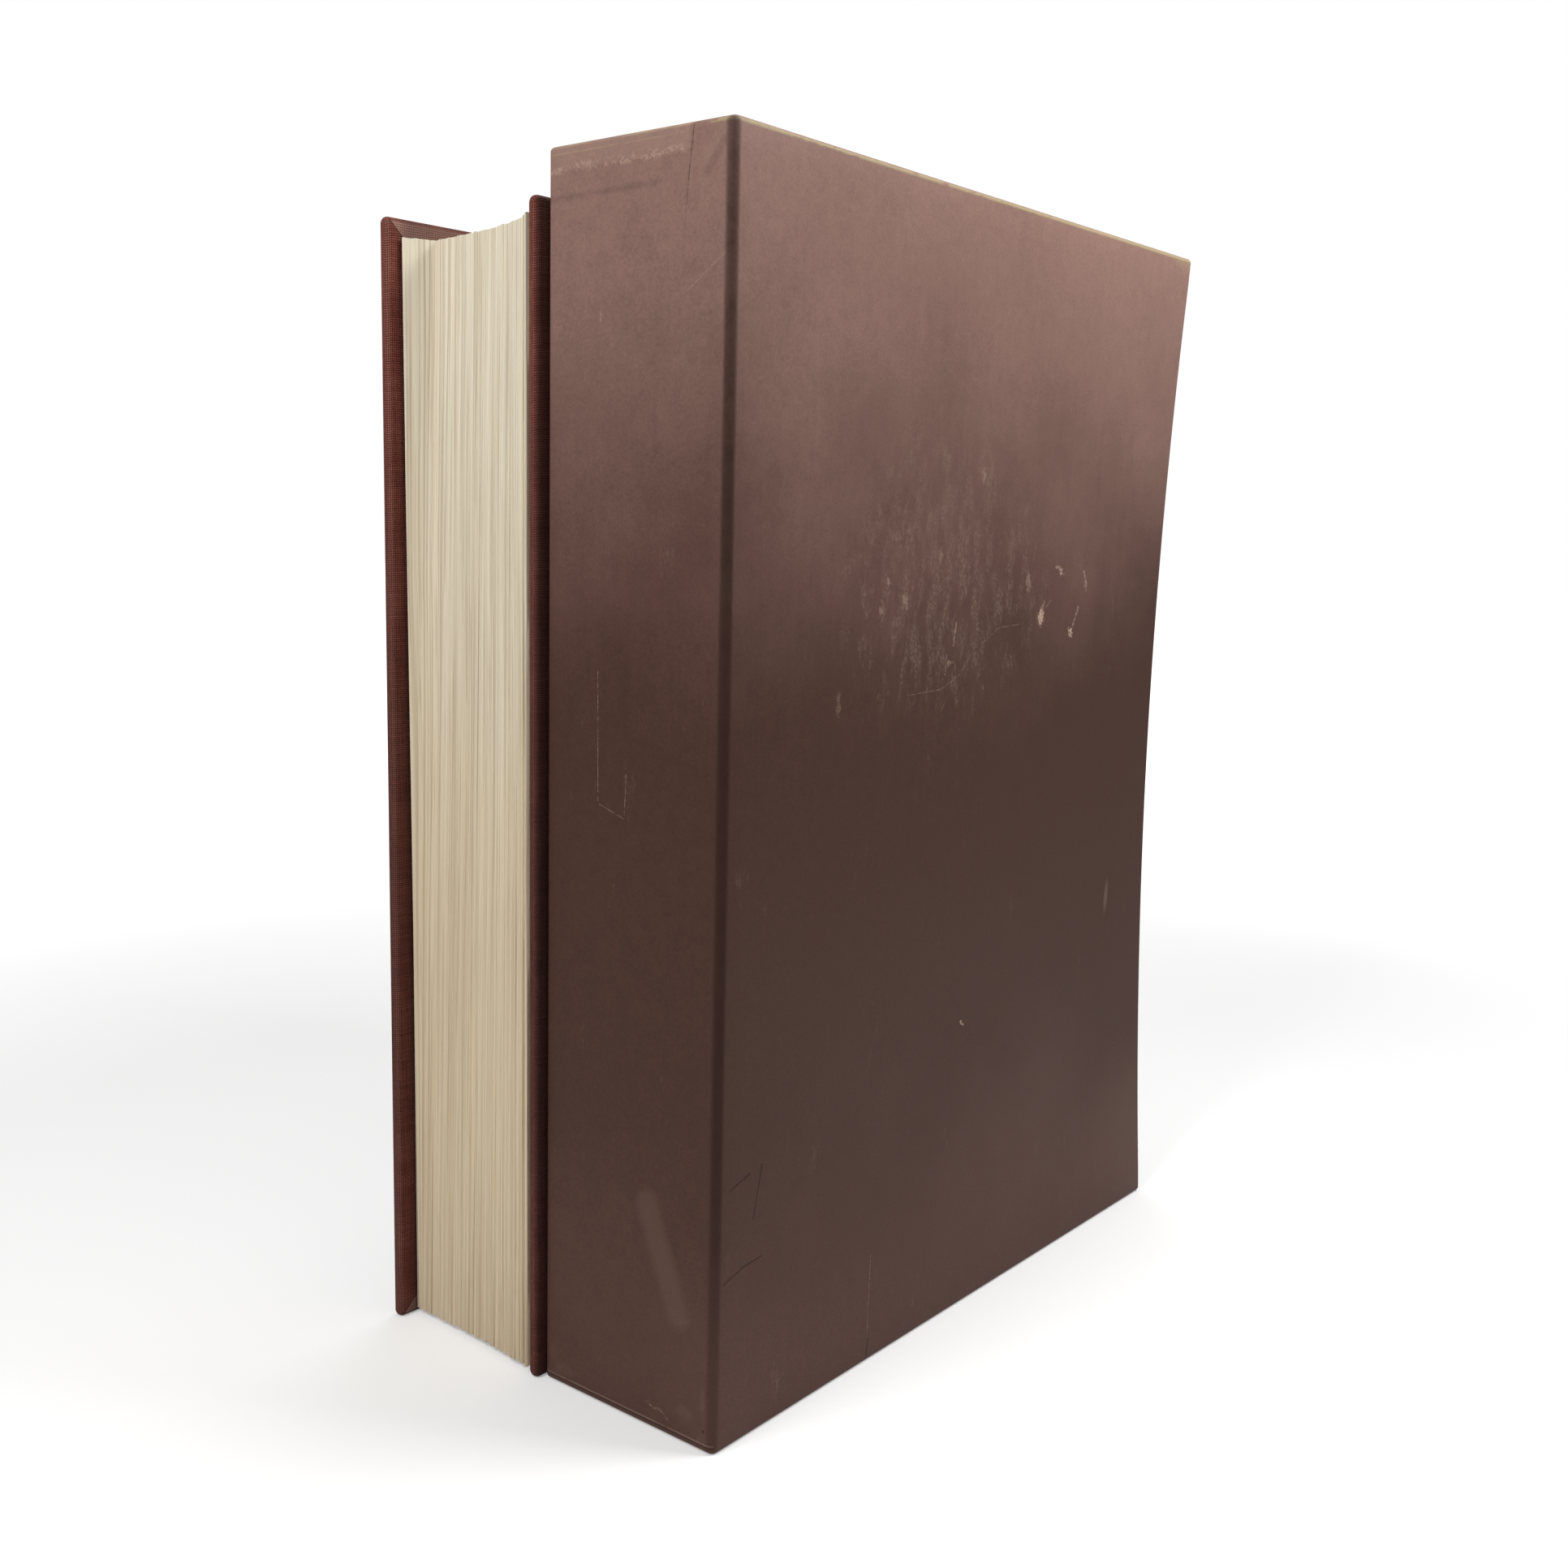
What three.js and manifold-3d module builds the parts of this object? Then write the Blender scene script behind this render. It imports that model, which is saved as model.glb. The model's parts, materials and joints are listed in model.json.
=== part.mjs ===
// A cloth-bound book standing against the slipcase that it has been drawn out of.
// Millimetres, +Z up. X runs across the covers, the book lies towards -X and the slipcase towards +X.
// -Y is the fore-edge and the closed back of the slipcase, +Y is the spine and the slipcase's mouth.
import * as THREE from 'three';
import * as BufferGeometryUtils from 'three/addons/utils/BufferGeometryUtils.js';
import Module from 'manifold-3d';

const wasm = await Module();
wasm.setup();

// Leaves
const leafHeight = 252;
const leafWidth = 182;
const leavesAtSpine = 36.6;
const spineRise = 8;
const quires = 26;
const quireGroove = 0.35;
const foreEdgeAtBackCover = 2.3;
const hollowHead = 7.7;
const hollowTail = 2.3;
const hollowRoundness = 2.2;
const frontSheafAhead = 7.0;
const frontSheafShare = 0.08;
const frontSheafRoundness = 1.3;

// Case of the book
const coverBoard = 2.0;
const cloth = 0.4;
const endpaper = 0.2;
const glue = 0.15;
const headSquare = 4.3;
const tailSquare = 1.4;
const foreSquare = 3.0;
const clothTurnIn = 15;
const clothCorner = 0.9;
const jointWidth = 6.0;
const jointSetback = 2.5;
const jointSlack = 0.15;
const frontCoverLead = 1.5;
const frontCoverSplay = THREE.MathUtils.degToRad(1.6);
const frontPivotProud = 0.2;
const backPivotDepth = 4.75;
const backOpening = THREE.MathUtils.degToRad(45);
const pastedownMargin = 5.0;

// Spine
const mull = 0.3;
const spineLining = 0.4;
const spineHollow = 0.2;
const spineCard = 0.8;
const liningSetIn = 14;
const bandDepth = 1.6;
const headBandHeight = 1.8;
const tailBandHeight = 1.0;
const bandSetIn = 0.2;
const bandEndSetIn = THREE.MathUtils.degToRad(4);

// Slipcase
const caseBoard = 2.0;
const casePaper = 0.3;
const caseCorner = 1.8;
const caseTurnIn = 12;
const caseSideClearance = 0.7;
const caseHeadClearance = 4.4;
const caseDepthClearance = 2.0;
const caseBow = 5.0;
const caseBowSharpness = 1.6;
const caseAheadOfCover = 2.0;
const gapBookToCase = 0.9;

// Sizes that follow
const bookHeight = leafHeight + headSquare + tailSquare;
const leafTop = tailSquare + leafHeight;
const halfLeaves = leavesAtSpine / 2;
const coverThickness = coverBoard + 2 * (cloth + glue);
const coverInner = halfLeaves + 2 * (glue + endpaper) + glue;
const coverOuter = coverInner + coverThickness;
const backCoverFore = -caseAheadOfCover;
const leafFore = backCoverFore + foreSquare;
const shoulderY = leafFore + leafWidth;
const hingeY = shoulderY - jointSetback;
const boardEnd = hingeY + jointSetback - jointWidth;
const jointOuter = coverInner + cloth;
const frontPivotX = -coverOuter - frontPivotProud;
const backPivotX = coverOuter - backPivotDepth;
const frontClothEnd = hingeY - jointSlack;
const backClothEnd = frontClothEnd - (jointOuter - backPivotX) * Math.sin(backOpening);

const spineRadius = (halfLeaves * halfLeaves + spineRise * spineRise) / (2 * spineRise);
const spineAngle = Math.asin(halfLeaves / spineRadius);
const spineCentreY = shoulderY - spineRadius * Math.cos(spineAngle);
const mullInner = spineRadius + glue;
const liningInner = mullInner + mull + glue;
const spineTurnIn = liningInner + spineLining + spineHollow;
const cardInner = spineTurnIn + cloth + glue;
const spineClothInner = cardInner + spineCard + glue;
const spineClothOuter = spineClothInner + cloth;
const shoulderTipY = spineCentreY + spineClothOuter * Math.cos(spineAngle);
const roomAngle = spineAngle - cloth / spineRadius;
const cardAngle = roomAngle - glue / spineRadius;
const spineJointEndY = spineCentreY + spineTurnIn * Math.cos(spineAngle) + cloth;

const wall = casePaper + glue + caseBoard;
const fold = glue + casePaper;
const caseThickness = 2 * coverOuter + caseSideClearance + 2 * wall;
const caseHeight = bookHeight + caseHeadClearance + 2 * wall;
const caseDepth = shoulderTipY - backCoverFore + caseDepthClearance + wall;
const caseInnerLow = wall;
const caseInnerHigh = caseHeight - wall;
const bookCentreX = -caseThickness - gapBookToCase - coverOuter;

// Materials
function makeMaterial(color, roughness) {
  return new THREE.MeshStandardMaterial({ color, roughness, metalness: 0 });
}

const clothMaterial = makeMaterial(0x7a3c30, 0.85);
const leafMaterial = makeMaterial(0xd8cdb4, 0.9);
const boardMaterial = makeMaterial(0x8a8276, 0.95);
const mullMaterial = makeMaterial(0xd9d4c4, 0.9);
const bandMaterial = makeMaterial(0xc9b98f, 0.7);
const wrapMaterial = makeMaterial(0x6b5048, 0.45);

// Building blocks
function makeMesh(name, geometry, material) {
  const mesh = new THREE.Mesh(geometry, material);
  mesh.name = name;
  return mesh;
}

function box(x0, x1, y0, y1, z0, z1) {
  const geometry = new THREE.BoxGeometry(Math.abs(x1 - x0), y1 - y0, z1 - z0);
  geometry.translate((x0 + x1) / 2, (y0 + y1) / 2, (z0 + z1) / 2);
  return geometry;
}

function asSolid(geometry) {
  const merged = geometry.clone();
  merged.deleteAttribute('normal');
  merged.deleteAttribute('uv');
  const closed = BufferGeometryUtils.mergeVertices(merged);
  const vertProperties = new Float32Array(closed.attributes.position.array);
  const triVerts = new Uint32Array(closed.index.array);
  return new wasm.Manifold(new wasm.Mesh({ numProp: 3, vertProperties, triVerts }));
}

function asGeometry(solid) {
  const mesh = solid.getMesh();
  const geometry = new THREE.BufferGeometry();
  geometry.setAttribute('position', new THREE.BufferAttribute(new Float32Array(mesh.vertProperties), 3));
  geometry.setIndex(new THREE.BufferAttribute(new Uint32Array(mesh.triVerts), 1));
  geometry.computeVertexNormals();
  return geometry;
}

function joined(geometries) {
  return geometries.map(asSolid).reduce((whole, next) => whole.add(next));
}

function signedArea(ring) {
  return ring.reduce((sum, [x, y], i) => {
    const [nextX, nextY] = ring[(i + 1) % ring.length];
    return sum + (x * nextY - nextX * y) / 2;
  }, 0);
}

// A closed skin through rings of [x, y] points at rising heights, with a flat cap at each end.
function loft(rings, heights) {
  const counterClockwise = signedArea(rings[0]) > 0;
  const ordered = rings.map((ring) => (counterClockwise ? ring : [...ring].reverse()));
  const count = ordered[0].length;
  const positions = ordered.flatMap((ring, level) => ring.flatMap(([x, y]) => [x, y, heights[level]]));
  const indices = [];
  for (let level = 0; level + 1 < ordered.length; level++) {
    for (let i = 0; i < count; i++) {
      const a = level * count + i;
      const b = level * count + ((i + 1) % count);
      indices.push(a, b, b + count, a, b + count, a + count);
    }
  }
  const cap = (ring) => THREE.ShapeUtils.triangulateShape(ring.map(([x, y]) => new THREE.Vector2(x, y)), []);
  const top = (ordered.length - 1) * count;
  cap(ordered[0]).forEach(([a, b, c]) => indices.push(a, c, b));
  cap(ordered[ordered.length - 1]).forEach(([a, b, c]) => indices.push(top + a, top + b, top + c));
  const geometry = new THREE.BufferGeometry();
  geometry.setAttribute('position', new THREE.Float32BufferAttribute(positions, 3));
  geometry.setIndex(indices);
  geometry.computeVertexNormals();
  return geometry;
}

function prism(ring, z0, z1) {
  return loft([ring, ring], [z0, z1]);
}

function levels(from, to, steps) {
  return Array.from({ length: steps + 1 }, (_, i) => THREE.MathUtils.lerp(from, to, i / steps));
}

// A rectangle whose two corners at low y are round.
function roundedRing(x0, x1, y0, y1, radius, segments = 5) {
  const ring = [[x1, y1], [x0, y1]];
  for (let i = 0; i <= segments; i++) {
    const angle = Math.PI + (i / segments) * (Math.PI / 2);
    ring.push([x0 + radius + radius * Math.cos(angle), y0 + radius + radius * Math.sin(angle)]);
  }
  for (let i = 0; i <= segments; i++) {
    const angle = 1.5 * Math.PI + (i / segments) * (Math.PI / 2);
    ring.push([x1 - radius + radius * Math.cos(angle), y0 + radius + radius * Math.sin(angle)]);
  }
  return ring;
}

// A curved strip that follows the spine, between two radii and as far as an angle each way.
function spineStrip(inner, outer, angle, z0, z1, segments = 24) {
  const along = (radius) => levels(-angle, angle, segments)
    .map((a) => [radius * Math.sin(a), spineCentreY + radius * Math.cos(a)]);
  return prism([...along(outer), ...along(inner).reverse()], z0, z1);
}

// The front cover has sprung open a little about its joint, and the leaves beside it follow.
function splayed([x, y]) {
  const point = new THREE.Vector2(x, y);
  point.rotateAround(new THREE.Vector2(frontPivotX, hingeY), -frontCoverSplay);
  return [point.x, point.y];
}

// Leaves: one solid with a hollow fore-edge, deeper at the head, and a round spine
function foreEdgePoint(share, headness) {
  const hollow = THREE.MathUtils.lerp(hollowTail, hollowHead, headness);
  const sheaf = Math.max(0, (share - 1 + frontSheafShare) / frontSheafShare);
  const ahead = frontSheafAhead * headness * Math.pow(sheaf, frontSheafRoundness);
  const y = leafFore - foreEdgeAtBackCover + hollow * (1 - Math.pow(1 - share, hollowRoundness)) - ahead;
  const frontX = splayed([-halfLeaves, leafFore])[0];
  return [THREE.MathUtils.lerp(halfLeaves, frontX, share), y];
}

function makeTextBlock() {
  const shares = [];
  for (let quire = 0; quire < quires; quire++) {
    shares.push([quire / quires, quire > 0], [(quire + 0.2) / quires, false], [(quire + 0.8) / quires, false]);
  }
  shares.push([1, false]);
  const spine = levels(-spineAngle, spineAngle, 24)
    .map((a) => [spineRadius * Math.sin(a), spineCentreY + spineRadius * Math.cos(a)]);
  const heights = levels(tailSquare, leafTop, 10);
  const rings = heights.map((z) => {
    const headness = (z - tailSquare) / leafHeight;
    const foreEdge = shares.map(([share, groove]) => {
      const [x, y] = foreEdgePoint(share, headness);
      return [x, groove ? y + quireGroove : y];
    });
    return [...foreEdge, splayed([-halfLeaves, hingeY]), ...spine];
  });
  return makeMesh('text_block', loft(rings, heights), leafMaterial);
}

// Endpapers: on each side a leaf pasted on the cover and a free leaf on the text block
function makeFlyleaf(name, side) {
  const near = side * (halfLeaves + glue);
  const far = side * (halfLeaves + glue + endpaper);
  const foldY = hingeY - jointSetback;
  const corners = [[near, leafFore], [far, leafFore], [far, foldY], [near, foldY]];
  const ring = side < 0 ? corners.map(splayed) : corners;
  return makeMesh(name, prism(ring, tailSquare, leafTop), leafMaterial);
}

function makePastedown(name, side, foreY) {
  const near = side * (coverInner - glue - endpaper);
  const far = side * (coverInner - glue);
  const ends = [pastedownMargin, bookHeight - pastedownMargin];
  const sheet = box(near, far, foreY + pastedownMargin, boardEnd, ...ends);
  return makeMesh(name, sheet, leafMaterial);
}

// Covers: a board wrapped in cloth that is turned in round its inner face and runs into the joint
function makeBoard(name, side, foreY) {
  const inset = cloth + glue;
  const board = box(
    side * (coverInner + inset), side * (coverOuter - inset),
    foreY + inset, boardEnd, inset, bookHeight - inset,
  );
  return makeMesh(name, board, boardMaterial);
}

function makeCoverCloth(name, side, foreY, clothEnd) {
  const edgeEnd = boardEnd + glue + cloth;
  const xs = [side * coverInner, side * coverOuter].sort((a, b) => a - b);
  const outside = prism(roundedRing(xs[0], xs[1], foreY, edgeEnd, clothCorner), 0, bookHeight);
  const room = box(
    side * (coverInner + cloth), side * (coverOuter - cloth),
    foreY + cloth, boardEnd + glue, cloth, bookHeight - cloth,
  );
  const windowOpening = box(
    side * (coverInner - cloth), side * (coverInner + 1.5 * cloth),
    foreY + clothTurnIn, edgeEnd + cloth, clothTurnIn, bookHeight - clothTurnIn,
  );
  const jointStrip = box(
    side * (jointOuter - cloth), side * jointOuter,
    boardEnd + glue + cloth / 2, clothEnd, 0, bookHeight,
  );
  const solid = asSolid(outside)
    .subtract(asSolid(room))
    .subtract(asSolid(windowOpening))
    .add(asSolid(jointStrip));
  return makeMesh(name, asGeometry(solid), clothMaterial);
}

// Spine: mull and lining on the leaves, then the card and cloth of the case's spine
function makeSpine() {
  const clothBand = spineStrip(spineTurnIn, spineClothOuter, spineAngle, 0, bookHeight);
  const pastEnd = spineAngle * 1.1;
  const room = spineStrip(spineTurnIn + cloth, spineClothInner, roomAngle, cloth, bookHeight - cloth);
  const opening = spineStrip(
    spineTurnIn - cloth, spineTurnIn + 1.5 * cloth, pastEnd, clothTurnIn, bookHeight - clothTurnIn,
  );
  const strips = [-1, 1].map((side) => box(
    side * (jointOuter - cloth), side * jointOuter, hingeY + jointSlack, spineJointEndY, 0, bookHeight,
  ));
  const shell = asSolid(clothBand).subtract(asSolid(room)).subtract(asSolid(opening));
  const spineCloth = strips.map(asSolid).reduce((whole, strip) => whole.add(strip), shell);
  const lined = [tailSquare + liningSetIn, leafTop - liningSetIn];
  const bandAngle = spineAngle - bandEndSetIn;
  const bandOuter = spineRadius - bandSetIn;
  const bandInner = bandOuter - bandDepth;
  const cardEnds = [cloth + glue, bookHeight - cloth - glue];
  const band = (z0, z1) => spineStrip(bandInner, bandOuter, bandAngle, z0, z1);
  const layer = (inner, thickness, angle, ends) => spineStrip(inner, inner + thickness, angle, ...ends);
  return [
    makeMesh('spine_mull', layer(mullInner, mull, spineAngle, lined), mullMaterial),
    makeMesh('spine_lining', layer(liningInner, spineLining, spineAngle, lined), boardMaterial),
    makeMesh('head_band', band(leafTop, leafTop + headBandHeight), bandMaterial),
    makeMesh('tail_band', band(tailSquare - tailBandHeight, tailSquare), bandMaterial),
    makeMesh('spine_inlay', layer(cardInner, spineCard, cardAngle, cardEnds), boardMaterial),
    makeMesh('spine_cloth', asGeometry(spineCloth), clothMaterial),
  ];
}

// Slipcase: five boards, of which the big outer side has warped inward at the mouth
function bowAt(y, z) {
  const height = THREE.MathUtils.clamp((z - caseInnerLow) / (caseInnerHigh - caseInnerLow), 0, 1);
  const depth = THREE.MathUtils.clamp(y / caseDepth, 0, 1);
  return caseBow * 4 * height * (1 - height) * Math.pow(depth, caseBowSharpness);
}

const bowHeights = levels(caseInnerLow, caseInnerHigh, 14);
const bowSteps = 10;

function makeBowedBoard() {
  const outer = -casePaper - glue;
  const inner = outer - caseBoard;
  const ys = levels(wall, caseDepth - fold, bowSteps);
  const heights = [fold, ...bowHeights, caseHeight - fold];
  const rings = heights.map((z) => [
    ...ys.map((y) => [outer - bowAt(y, z), y]),
    ...[...ys].reverse().map((y) => [inner - bowAt(y, z), y]),
  ]);
  return makeMesh('slipcase_right_board', loft(rings, heights), boardMaterial);
}

function makeFlatBoards() {
  const left = -caseThickness;
  const mouth = caseDepth - fold;
  const high = caseHeight - fold;
  const backRing = roundedRing(left + fold, -fold, fold, wall, caseCorner - fold);
  const board = (name, geometry) => makeMesh(name, geometry, boardMaterial);
  return [
    board('slipcase_left_board', box(left + fold, left + wall, wall, mouth, fold, high)),
    board('slipcase_back_board', prism(backRing, fold, high)),
    board('slipcase_top_board', box(left + wall, -wall, wall, mouth, caseInnerHigh, high)),
    board('slipcase_bottom_board', box(left + wall, -wall, wall, mouth, fold, caseInnerLow)),
  ];
}

// Covering paper: one sheet round both sides and the back, turned in at the mouth
function makeWrap() {
  const left = -caseThickness;
  const radius = caseCorner;
  const inside = wall + fold;
  const panel = levels(radius, caseDepth, bowSteps).slice(1);
  const turned = levels(caseDepth - casePaper, caseDepth - caseTurnIn, 2);
  const arc = (centreX, start, r) => levels(start, start + Math.PI / 2, 5)
    .map((a) => [centreX + r * Math.cos(a), radius + r * Math.sin(a)]);
  const heights = [0, fold, ...bowHeights, caseHeight - fold, caseHeight];
  const rings = heights.map((z) => {
    const bowed = (x, y) => [x - bowAt(y, z), y];
    const innerPanel = levels(radius, caseDepth - casePaper, bowSteps).slice(1);
    return [
      ...[...turned].reverse().map((y) => [left + inside, y]),
      [left + inside, caseDepth],
      [left, caseDepth],
      ...arc(left + radius, Math.PI, radius),
      ...arc(-radius, 1.5 * Math.PI, radius),
      ...panel.map((y) => bowed(0, y)),
      bowed(-inside, caseDepth),
      ...turned.map((y) => bowed(-inside, y)),
      bowed(-wall - glue, caseDepth - caseTurnIn),
      bowed(-wall - glue, caseDepth - casePaper),
      ...[...innerPanel].reverse().map((y) => bowed(-casePaper, y)),
      ...arc(-radius, 1.5 * Math.PI, radius - casePaper).reverse(),
      ...arc(left + radius, Math.PI, radius - casePaper).reverse(),
      [left + casePaper, caseDepth - casePaper],
      [left + wall + glue, caseDepth - casePaper],
      [left + wall + glue, caseDepth - caseTurnIn],
    ];
  });
  const clearOfEnd = (z0, z1) => asSolid(
    box(left + wall, -wall, caseDepth - 2 * caseTurnIn, caseDepth + caseTurnIn, z0, z1),
  );
  const solid = asSolid(loft(rings, heights))
    .subtract(clearOfEnd(-wall, caseInnerLow + fold))
    .subtract(clearOfEnd(caseInnerHigh - fold, caseHeight + wall));
  return makeMesh('slipcase_wrap', asGeometry(solid), wrapMaterial);
}

// Paper on the head and the tail of the slipcase, folded over the mouth's edge and turned in
function makeEndStrip(name, surface, inward) {
  const left = -caseThickness;
  const foldLow = left + wall + fold + glue;
  const foldHigh = -wall - fold - glue;
  const span = (a, b) => [surface + inward * a, surface + inward * b].sort((p, q) => p - q);
  const flatRing = roundedRing(left + fold, -fold, fold, caseDepth - fold, caseCorner - fold);
  const pieces = [
    prism(flatRing, ...span(0, casePaper)),
    box(foldLow, foldHigh, caseDepth - caseTurnIn, caseDepth, ...span(0, casePaper)),
    box(foldLow, foldHigh, caseDepth - casePaper, caseDepth, ...span(0, wall + fold)),
    box(foldLow, foldHigh, caseDepth - caseTurnIn, caseDepth, ...span(wall + glue, wall + fold)),
  ];
  return makeMesh(name, asGeometry(joined(pieces)), wrapMaterial);
}

// The whole object, with its origin under the middle of its outline
const book = new THREE.Group();
book.position.x = bookCentreX;
book.add(makeTextBlock());
book.add(makeFlyleaf('front_flyleaf', -1));
book.add(makeFlyleaf('back_flyleaf', 1));
book.add(...makeSpine());
book.add(makeBoard('back_board', 1, backCoverFore));
book.add(makeCoverCloth('back_cloth', 1, backCoverFore, backClothEnd));
book.add(makePastedown('back_pastedown', 1, backCoverFore));

const frontCover = new THREE.Group();
const frontFore = backCoverFore - frontCoverLead;
frontCover.position.set(frontPivotX, hingeY, 0);
frontCover.rotation.z = -frontCoverSplay;
[
  makeBoard('front_board', -1, frontFore),
  makeCoverCloth('front_cloth', -1, frontFore, frontClothEnd),
  makePastedown('front_pastedown', -1, frontFore),
].forEach((mesh) => {
  mesh.position.set(-frontPivotX, -hingeY, 0);
  frontCover.add(mesh);
});
book.add(frontCover);

const slipcase = new THREE.Group();
slipcase.add(makeBowedBoard());
slipcase.add(...makeFlatBoards());
slipcase.add(makeWrap());
slipcase.add(makeEndStrip('slipcase_head_strip', caseHeight, -1));
slipcase.add(makeEndStrip('slipcase_tail_strip', 0, 1));

const object = new THREE.Group();
object.add(book, slipcase);
const outline = new THREE.Box3().setFromObject(object);
const middle = outline.getCenter(new THREE.Vector3());
object.position.set(-middle.x, -middle.y, 0);

export default object;
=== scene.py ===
import json
import math

import bpy
import numpy as np
from mathutils import Matrix, Vector


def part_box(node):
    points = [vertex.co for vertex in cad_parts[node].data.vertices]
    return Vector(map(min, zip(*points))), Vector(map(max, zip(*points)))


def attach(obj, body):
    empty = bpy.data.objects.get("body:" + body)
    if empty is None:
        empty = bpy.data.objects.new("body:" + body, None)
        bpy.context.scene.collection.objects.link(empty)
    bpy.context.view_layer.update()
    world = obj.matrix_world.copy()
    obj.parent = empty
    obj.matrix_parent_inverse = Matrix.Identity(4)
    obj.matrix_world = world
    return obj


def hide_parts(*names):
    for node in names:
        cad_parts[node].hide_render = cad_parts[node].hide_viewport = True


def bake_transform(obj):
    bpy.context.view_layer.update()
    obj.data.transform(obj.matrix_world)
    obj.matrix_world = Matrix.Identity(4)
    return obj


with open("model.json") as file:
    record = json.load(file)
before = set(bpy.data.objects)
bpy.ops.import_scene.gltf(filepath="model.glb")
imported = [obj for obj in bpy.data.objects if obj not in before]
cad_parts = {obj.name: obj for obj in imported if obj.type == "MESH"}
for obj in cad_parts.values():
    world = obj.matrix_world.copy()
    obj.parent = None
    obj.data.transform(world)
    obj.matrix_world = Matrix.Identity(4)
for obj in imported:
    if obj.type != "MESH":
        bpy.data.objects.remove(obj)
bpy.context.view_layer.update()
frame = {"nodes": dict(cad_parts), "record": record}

MM = 0.001


# Camera, in the photograph's 1932 by 1932 frame
IMAGE_SIZE = 1932
FOCAL_PX = 2038.07
CAMERA_AZIMUTH = math.radians(38.8155)
CAMERA_ELEVATION = math.radians(8.619)
CAMERA_ROLL = math.radians(1.2863)
# From the foot of the slipcase's near corner
CAMERA_FROM_CASE = Vector((209.30, -241.31, 190.58)) * MM
CAMERA_CLIP = (0.01, 100)
SENSOR_MM = 36.0


def make_camera():
    case_low, case_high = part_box("slipcase_wrap")
    corner = Vector((case_high.x, case_low.y, 0))
    back = Vector((
        math.sin(CAMERA_AZIMUTH) * math.cos(CAMERA_ELEVATION),
        -math.cos(CAMERA_AZIMUTH) * math.cos(CAMERA_ELEVATION),
        math.sin(CAMERA_ELEVATION),
    ))
    level_right = Vector((0, 0, 1)).cross(back).normalized()
    level_up = back.cross(level_right)
    right = level_right * math.cos(CAMERA_ROLL) + level_up * math.sin(CAMERA_ROLL)
    up = back.cross(right)
    data = bpy.data.cameras.new("camera")
    data.sensor_fit = "HORIZONTAL"
    data.sensor_width = SENSOR_MM
    data.lens = FOCAL_PX / IMAGE_SIZE * SENSOR_MM
    data.clip_start, data.clip_end = CAMERA_CLIP
    camera = bpy.data.objects.new("camera", data)
    turn = Matrix((right, up, back)).transposed().to_4x4()
    camera.matrix_world = Matrix.Translation(corner + CAMERA_FROM_CASE) @ turn
    bpy.context.scene.collection.objects.link(camera)
    bpy.context.scene.camera = camera


# Shader arithmetic
class Value:
    """A shader socket that takes part in arithmetic. Each step is one Math node."""

    def __init__(self, tree, socket):
        self.tree = tree
        self.socket = socket

    def math(self, operation, *others):
        node = self.tree.nodes.new("ShaderNodeMath")
        node.operation = operation
        for slot, term in zip(node.inputs, (self, *others)):
            if isinstance(term, Value):
                self.tree.links.new(term.socket, slot)
            else:
                slot.default_value = term
        return Value(self.tree, node.outputs[0])

    def __add__(self, other):
        return self.math("ADD", other)

    def __sub__(self, other):
        return self.math("SUBTRACT", other)

    def __mul__(self, other):
        return self.math("MULTIPLY", other)

    def __truediv__(self, other):
        return self.math("DIVIDE", other)

    def sin(self):
        return self.math("SINE")

    def abs(self):
        return self.math("ABSOLUTE")

    def power(self, exponent):
        return self.math("POWER", exponent)

    def max(self, other):
        return self.math("MAXIMUM", other)

    def min(self, other):
        return self.math("MINIMUM", other)

    def ramp(self, low, high):
        """0 at low and 1 at high, smooth between them. low may be above high."""
        node = self.tree.nodes.new("ShaderNodeMapRange")
        node.interpolation_type = "SMOOTHSTEP"
        if low < high:
            ends = (low, high, 0.0, 1.0)
        else:
            ends = (high, low, 1.0, 0.0)
        self.tree.links.new(self.socket, node.inputs["Value"])
        for name, value in zip(("From Min", "From Max", "To Min", "To Max"), ends):
            node.inputs[name].default_value = value
        return Value(self.tree, node.outputs["Result"])


def strongest(marks):
    """The strongest of several marks at each place."""
    best, *others = marks
    for mark in others:
        best = best.max(mark)
    return best


# How far a noise's shift moves it along each axis
SHIFT_SPREAD = (1.0, 1.7, 2.3)
# The colour sockets of a Mix node
MIX_FIRST = 6
MIX_SECOND = 7
MIX_RESULT = 2


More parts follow.
